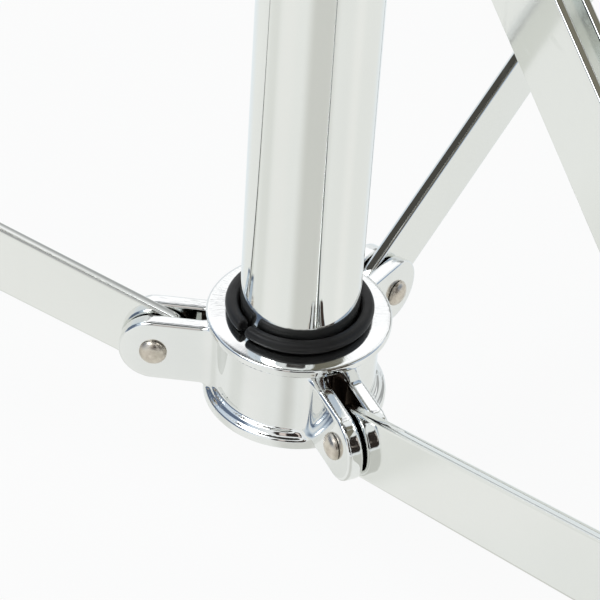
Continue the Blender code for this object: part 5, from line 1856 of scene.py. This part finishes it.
# Painted reflection: lighter and darker patches by bearing, which the floor glows with for glossy rays only, so the
# chrome mirrors painted light and shade.
PAINTED_FLOOR_REFLECTION = (
    Patch(-171, 12, 0, 0, 8, (0.86, 0.87, 0.83)),
    Patch(-142, 14, 0, 0, 10, (1.0, 1.0, 0.97)),
    Patch(-82, 22, 0, 0, 10, (0.70, 0.70, 0.655)),
    Patch(-15, 9, 0, 0, 8, (1.03, 1.03, 1.0)),
    Patch(90, 42, 0, 0, 12, (0.93, 0.99, 1.02)),
)


@dataclass
class Studio:
    """The pale floor, the room's light and the camera."""

    tilt: float = 38.954 * DEG
    roll: float = -3.972 * DEG
    distance: float = 639.886 * MM
    offset: tuple[float, float] = (0.126 * MM, -2.22 * MM)
    heading: float = 3.432 * DEG
    focal: float = 161.75
    sensor: float = 36.0
    nearest: float = 0.01
    farthest: float = 60.0
    target_height: float = LAYOUT.hub_top
    floor_reach: float = 4.0
    floor_white: float = 0.92
    # Share of glossy rays that see the floor's painted reflection glow.
    floor_reflection_glow: float = 0.75
    floor_paper: tuple[float, ...] = (0.86, 0.88, 0.86, 1)
    # Base tone of the floor's painted reflection glow.
    floor_reflection_tone: tuple[float, ...] = (0.97, 0.98, 0.95, 1)
    room_tones: tuple[tuple[float, ...], ...] = ((0.96, 0.98, 0.98, 1), (0.80, 0.83, 0.86, 1))
    lamp_size: float = 0.7
    lamp_power: float = 7.0
    lamp_spot: tuple[float, float, float] = (-0.9, -0.5, 1.6)
    lamp_target: tuple[float, float, float] = (0, 0, 0.1)

    def camera(self) -> None:
        """Set the camera over the lower hub."""
        data = bpy.data.cameras.new("camera")
        data.lens = self.focal
        data.sensor_width = self.sensor
        data.clip_start = self.nearest
        data.clip_end = self.farthest
        forward = Vector((0, math.cos(self.tilt), -math.sin(self.tilt)))
        right = Vector((1, 0, 0))
        down = forward.cross(right)
        across = math.cos(self.roll) * right + math.sin(self.roll) * down
        below = -math.sin(self.roll) * right + math.cos(self.roll) * down
        spot = -forward * self.distance + across * self.offset[0] + below * self.offset[1]
        basis = Matrix((across, -below, -forward)).transposed().to_4x4()
        item = bpy.data.objects.new("camera", data)
        item.matrix_world = place(z=self.target_height) @ turn(self.heading, "Z") @ Matrix.Translation(spot) @ basis
        bpy.context.scene.collection.objects.link(item)
        bpy.context.scene.camera = item

    def bearing(self, kit: NodeKit, way: Socket) -> Socket:
        """Return the bearing of a vector in degrees, -90 being the side of the camera."""
        return kit.sum("SUBTRACT", kit.sum("DEGREES", kit.polar(way)[0]), self.heading / DEG)

    def floor(self) -> None:
        """Lay the pale floor, which keeps a light shadow; to glossy rays it glows with a painted reflection, lighter
        and darker by bearing.
        """
        mesh = bpy.data.meshes.new("studio_floor")
        wide = self.floor_reach
        mesh.from_pydata([(-wide, -wide, 0), (wide, -wide, 0), (wide, wide, 0), (-wide, wide, 0)], [], [(0, 1, 2, 3)])
        item = bpy.data.objects.new("studio_floor", mesh)
        bpy.context.scene.collection.objects.link(item)
        material = bpy.data.materials.new("pale_floor")
        material.use_nodes = True
        kit = NodeKit(material.node_tree)
        material.node_tree.nodes.clear()
        paper = kit.add("ShaderNodeBsdfDiffuse", {"Color": self.floor_paper})
        glow = kit.add("ShaderNodeEmission", {"Color": (1, 1, 1, 1), "Strength": 1.0})
        bearing = self.bearing(kit, kit.add("ShaderNodeTexCoord").outputs["Object"])
        # Painted reflection: for glossy rays the floor glows in this tone, with lighter and darker patches laid by
        # bearing.
        tone = kit.add("ShaderNodeRGB").outputs[0]
        tone.default_value = self.floor_reflection_tone
        for patch in PAINTED_FLOOR_REFLECTION:
            tone = patch.lay(kit, bearing, None, tone)
        mirrored = kit.add("ShaderNodeEmission", {"Color": tone, "Strength": 1.0})
        paths = kit.add("ShaderNodeLightPath").outputs
        seen = kit.sum("MULTIPLY", paths["Is Camera Ray"], self.floor_white)
        reflection_share = kit.sum("MULTIPLY", paths["Is Glossy Ray"], self.floor_reflection_glow)
        mixed = kit.add("ShaderNodeMixShader", {0: seen, 1: paper.outputs[0], 2: glow.outputs[0]})
        whole = kit.add("ShaderNodeMixShader", {0: reflection_share, 1: mixed.outputs[0], 2: mirrored.outputs[0]})
        kit.add("ShaderNodeOutputMaterial", {"Surface": whole.outputs[0]})
        mesh.materials.append(material)

    def room(self) -> None:
        """Light the room: pale all round, with the patches that the chrome mirrors."""
        world = bpy.data.worlds.new("studio_room")
        world.use_nodes = True
        bpy.context.scene.world = world
        kit = NodeKit(world.node_tree)
        world.node_tree.nodes.clear()
        way = kit.add("ShaderNodeTexCoord").outputs["Generated"]
        bearing = self.bearing(kit, way)
        rise = kit.sum("DEGREES", kit.sum("ARCSINE", kit.polar(way)[2]["Z"]))
        share = kit.span(kit.noise(way, 3.0, 2.0), 0.35, 0.65)
        tone = kit.mix(share, *self.room_tones)
        for patch in ROOM_PATCHES:
            tone = patch.lay(kit, bearing, rise, tone)
        light = kit.add("ShaderNodeBackground", {"Color": tone, "Strength": 1.0})
        white = kit.add("ShaderNodeBackground", {"Color": (1, 1, 1, 1), "Strength": 1.0})
        seen = kit.add("ShaderNodeLightPath").outputs["Is Camera Ray"]
        mixed = kit.add("ShaderNodeMixShader", {0: seen, 1: light.outputs[0], 2: white.outputs[0]})
        kit.add("ShaderNodeOutputWorld", {"Surface": mixed.outputs[0]})

    def lamp(self) -> None:
        """Hang the soft key lamp, pointed at the lower hub."""
        data = bpy.data.lights.new("soft_key", "AREA")
        data.size = self.lamp_size
        data.energy = self.lamp_power
        item = bpy.data.objects.new("soft_key", data)
        spot, target = Vector(self.lamp_spot), Vector(self.lamp_target)
        item.matrix_world = Matrix.Translation(spot) @ (target - spot).to_track_quat("-Z", "Y").to_matrix().to_4x4()
        bpy.context.scene.collection.objects.link(item)

    def build(self) -> None:
        """Set up the camera, the floor and the light."""
        self.camera()
        self.floor()
        self.room()
        self.lamp()
        bpy.context.scene.view_settings.view_transform = "Standard"


def main() -> None:
    """Build the stand's looks around the frame and report each piece."""
    logging.basicConfig(level=logging.INFO, format="%(message)s")
    shop = Workshop()
    TripodHub(shop).build()
    TripodLegs(shop).build()
    Collar(shop).build()
    BaseClamp(shop).build()
    mast = Mast(shop)
    mast.build()
    Boom(shop, "right", 0.0, mast.upper_boom).build()
    Boom(shop, "left", 180 * DEG, mast.lower_boom).build()
    Studio().build()


if __name__ == "__main__":
    main()
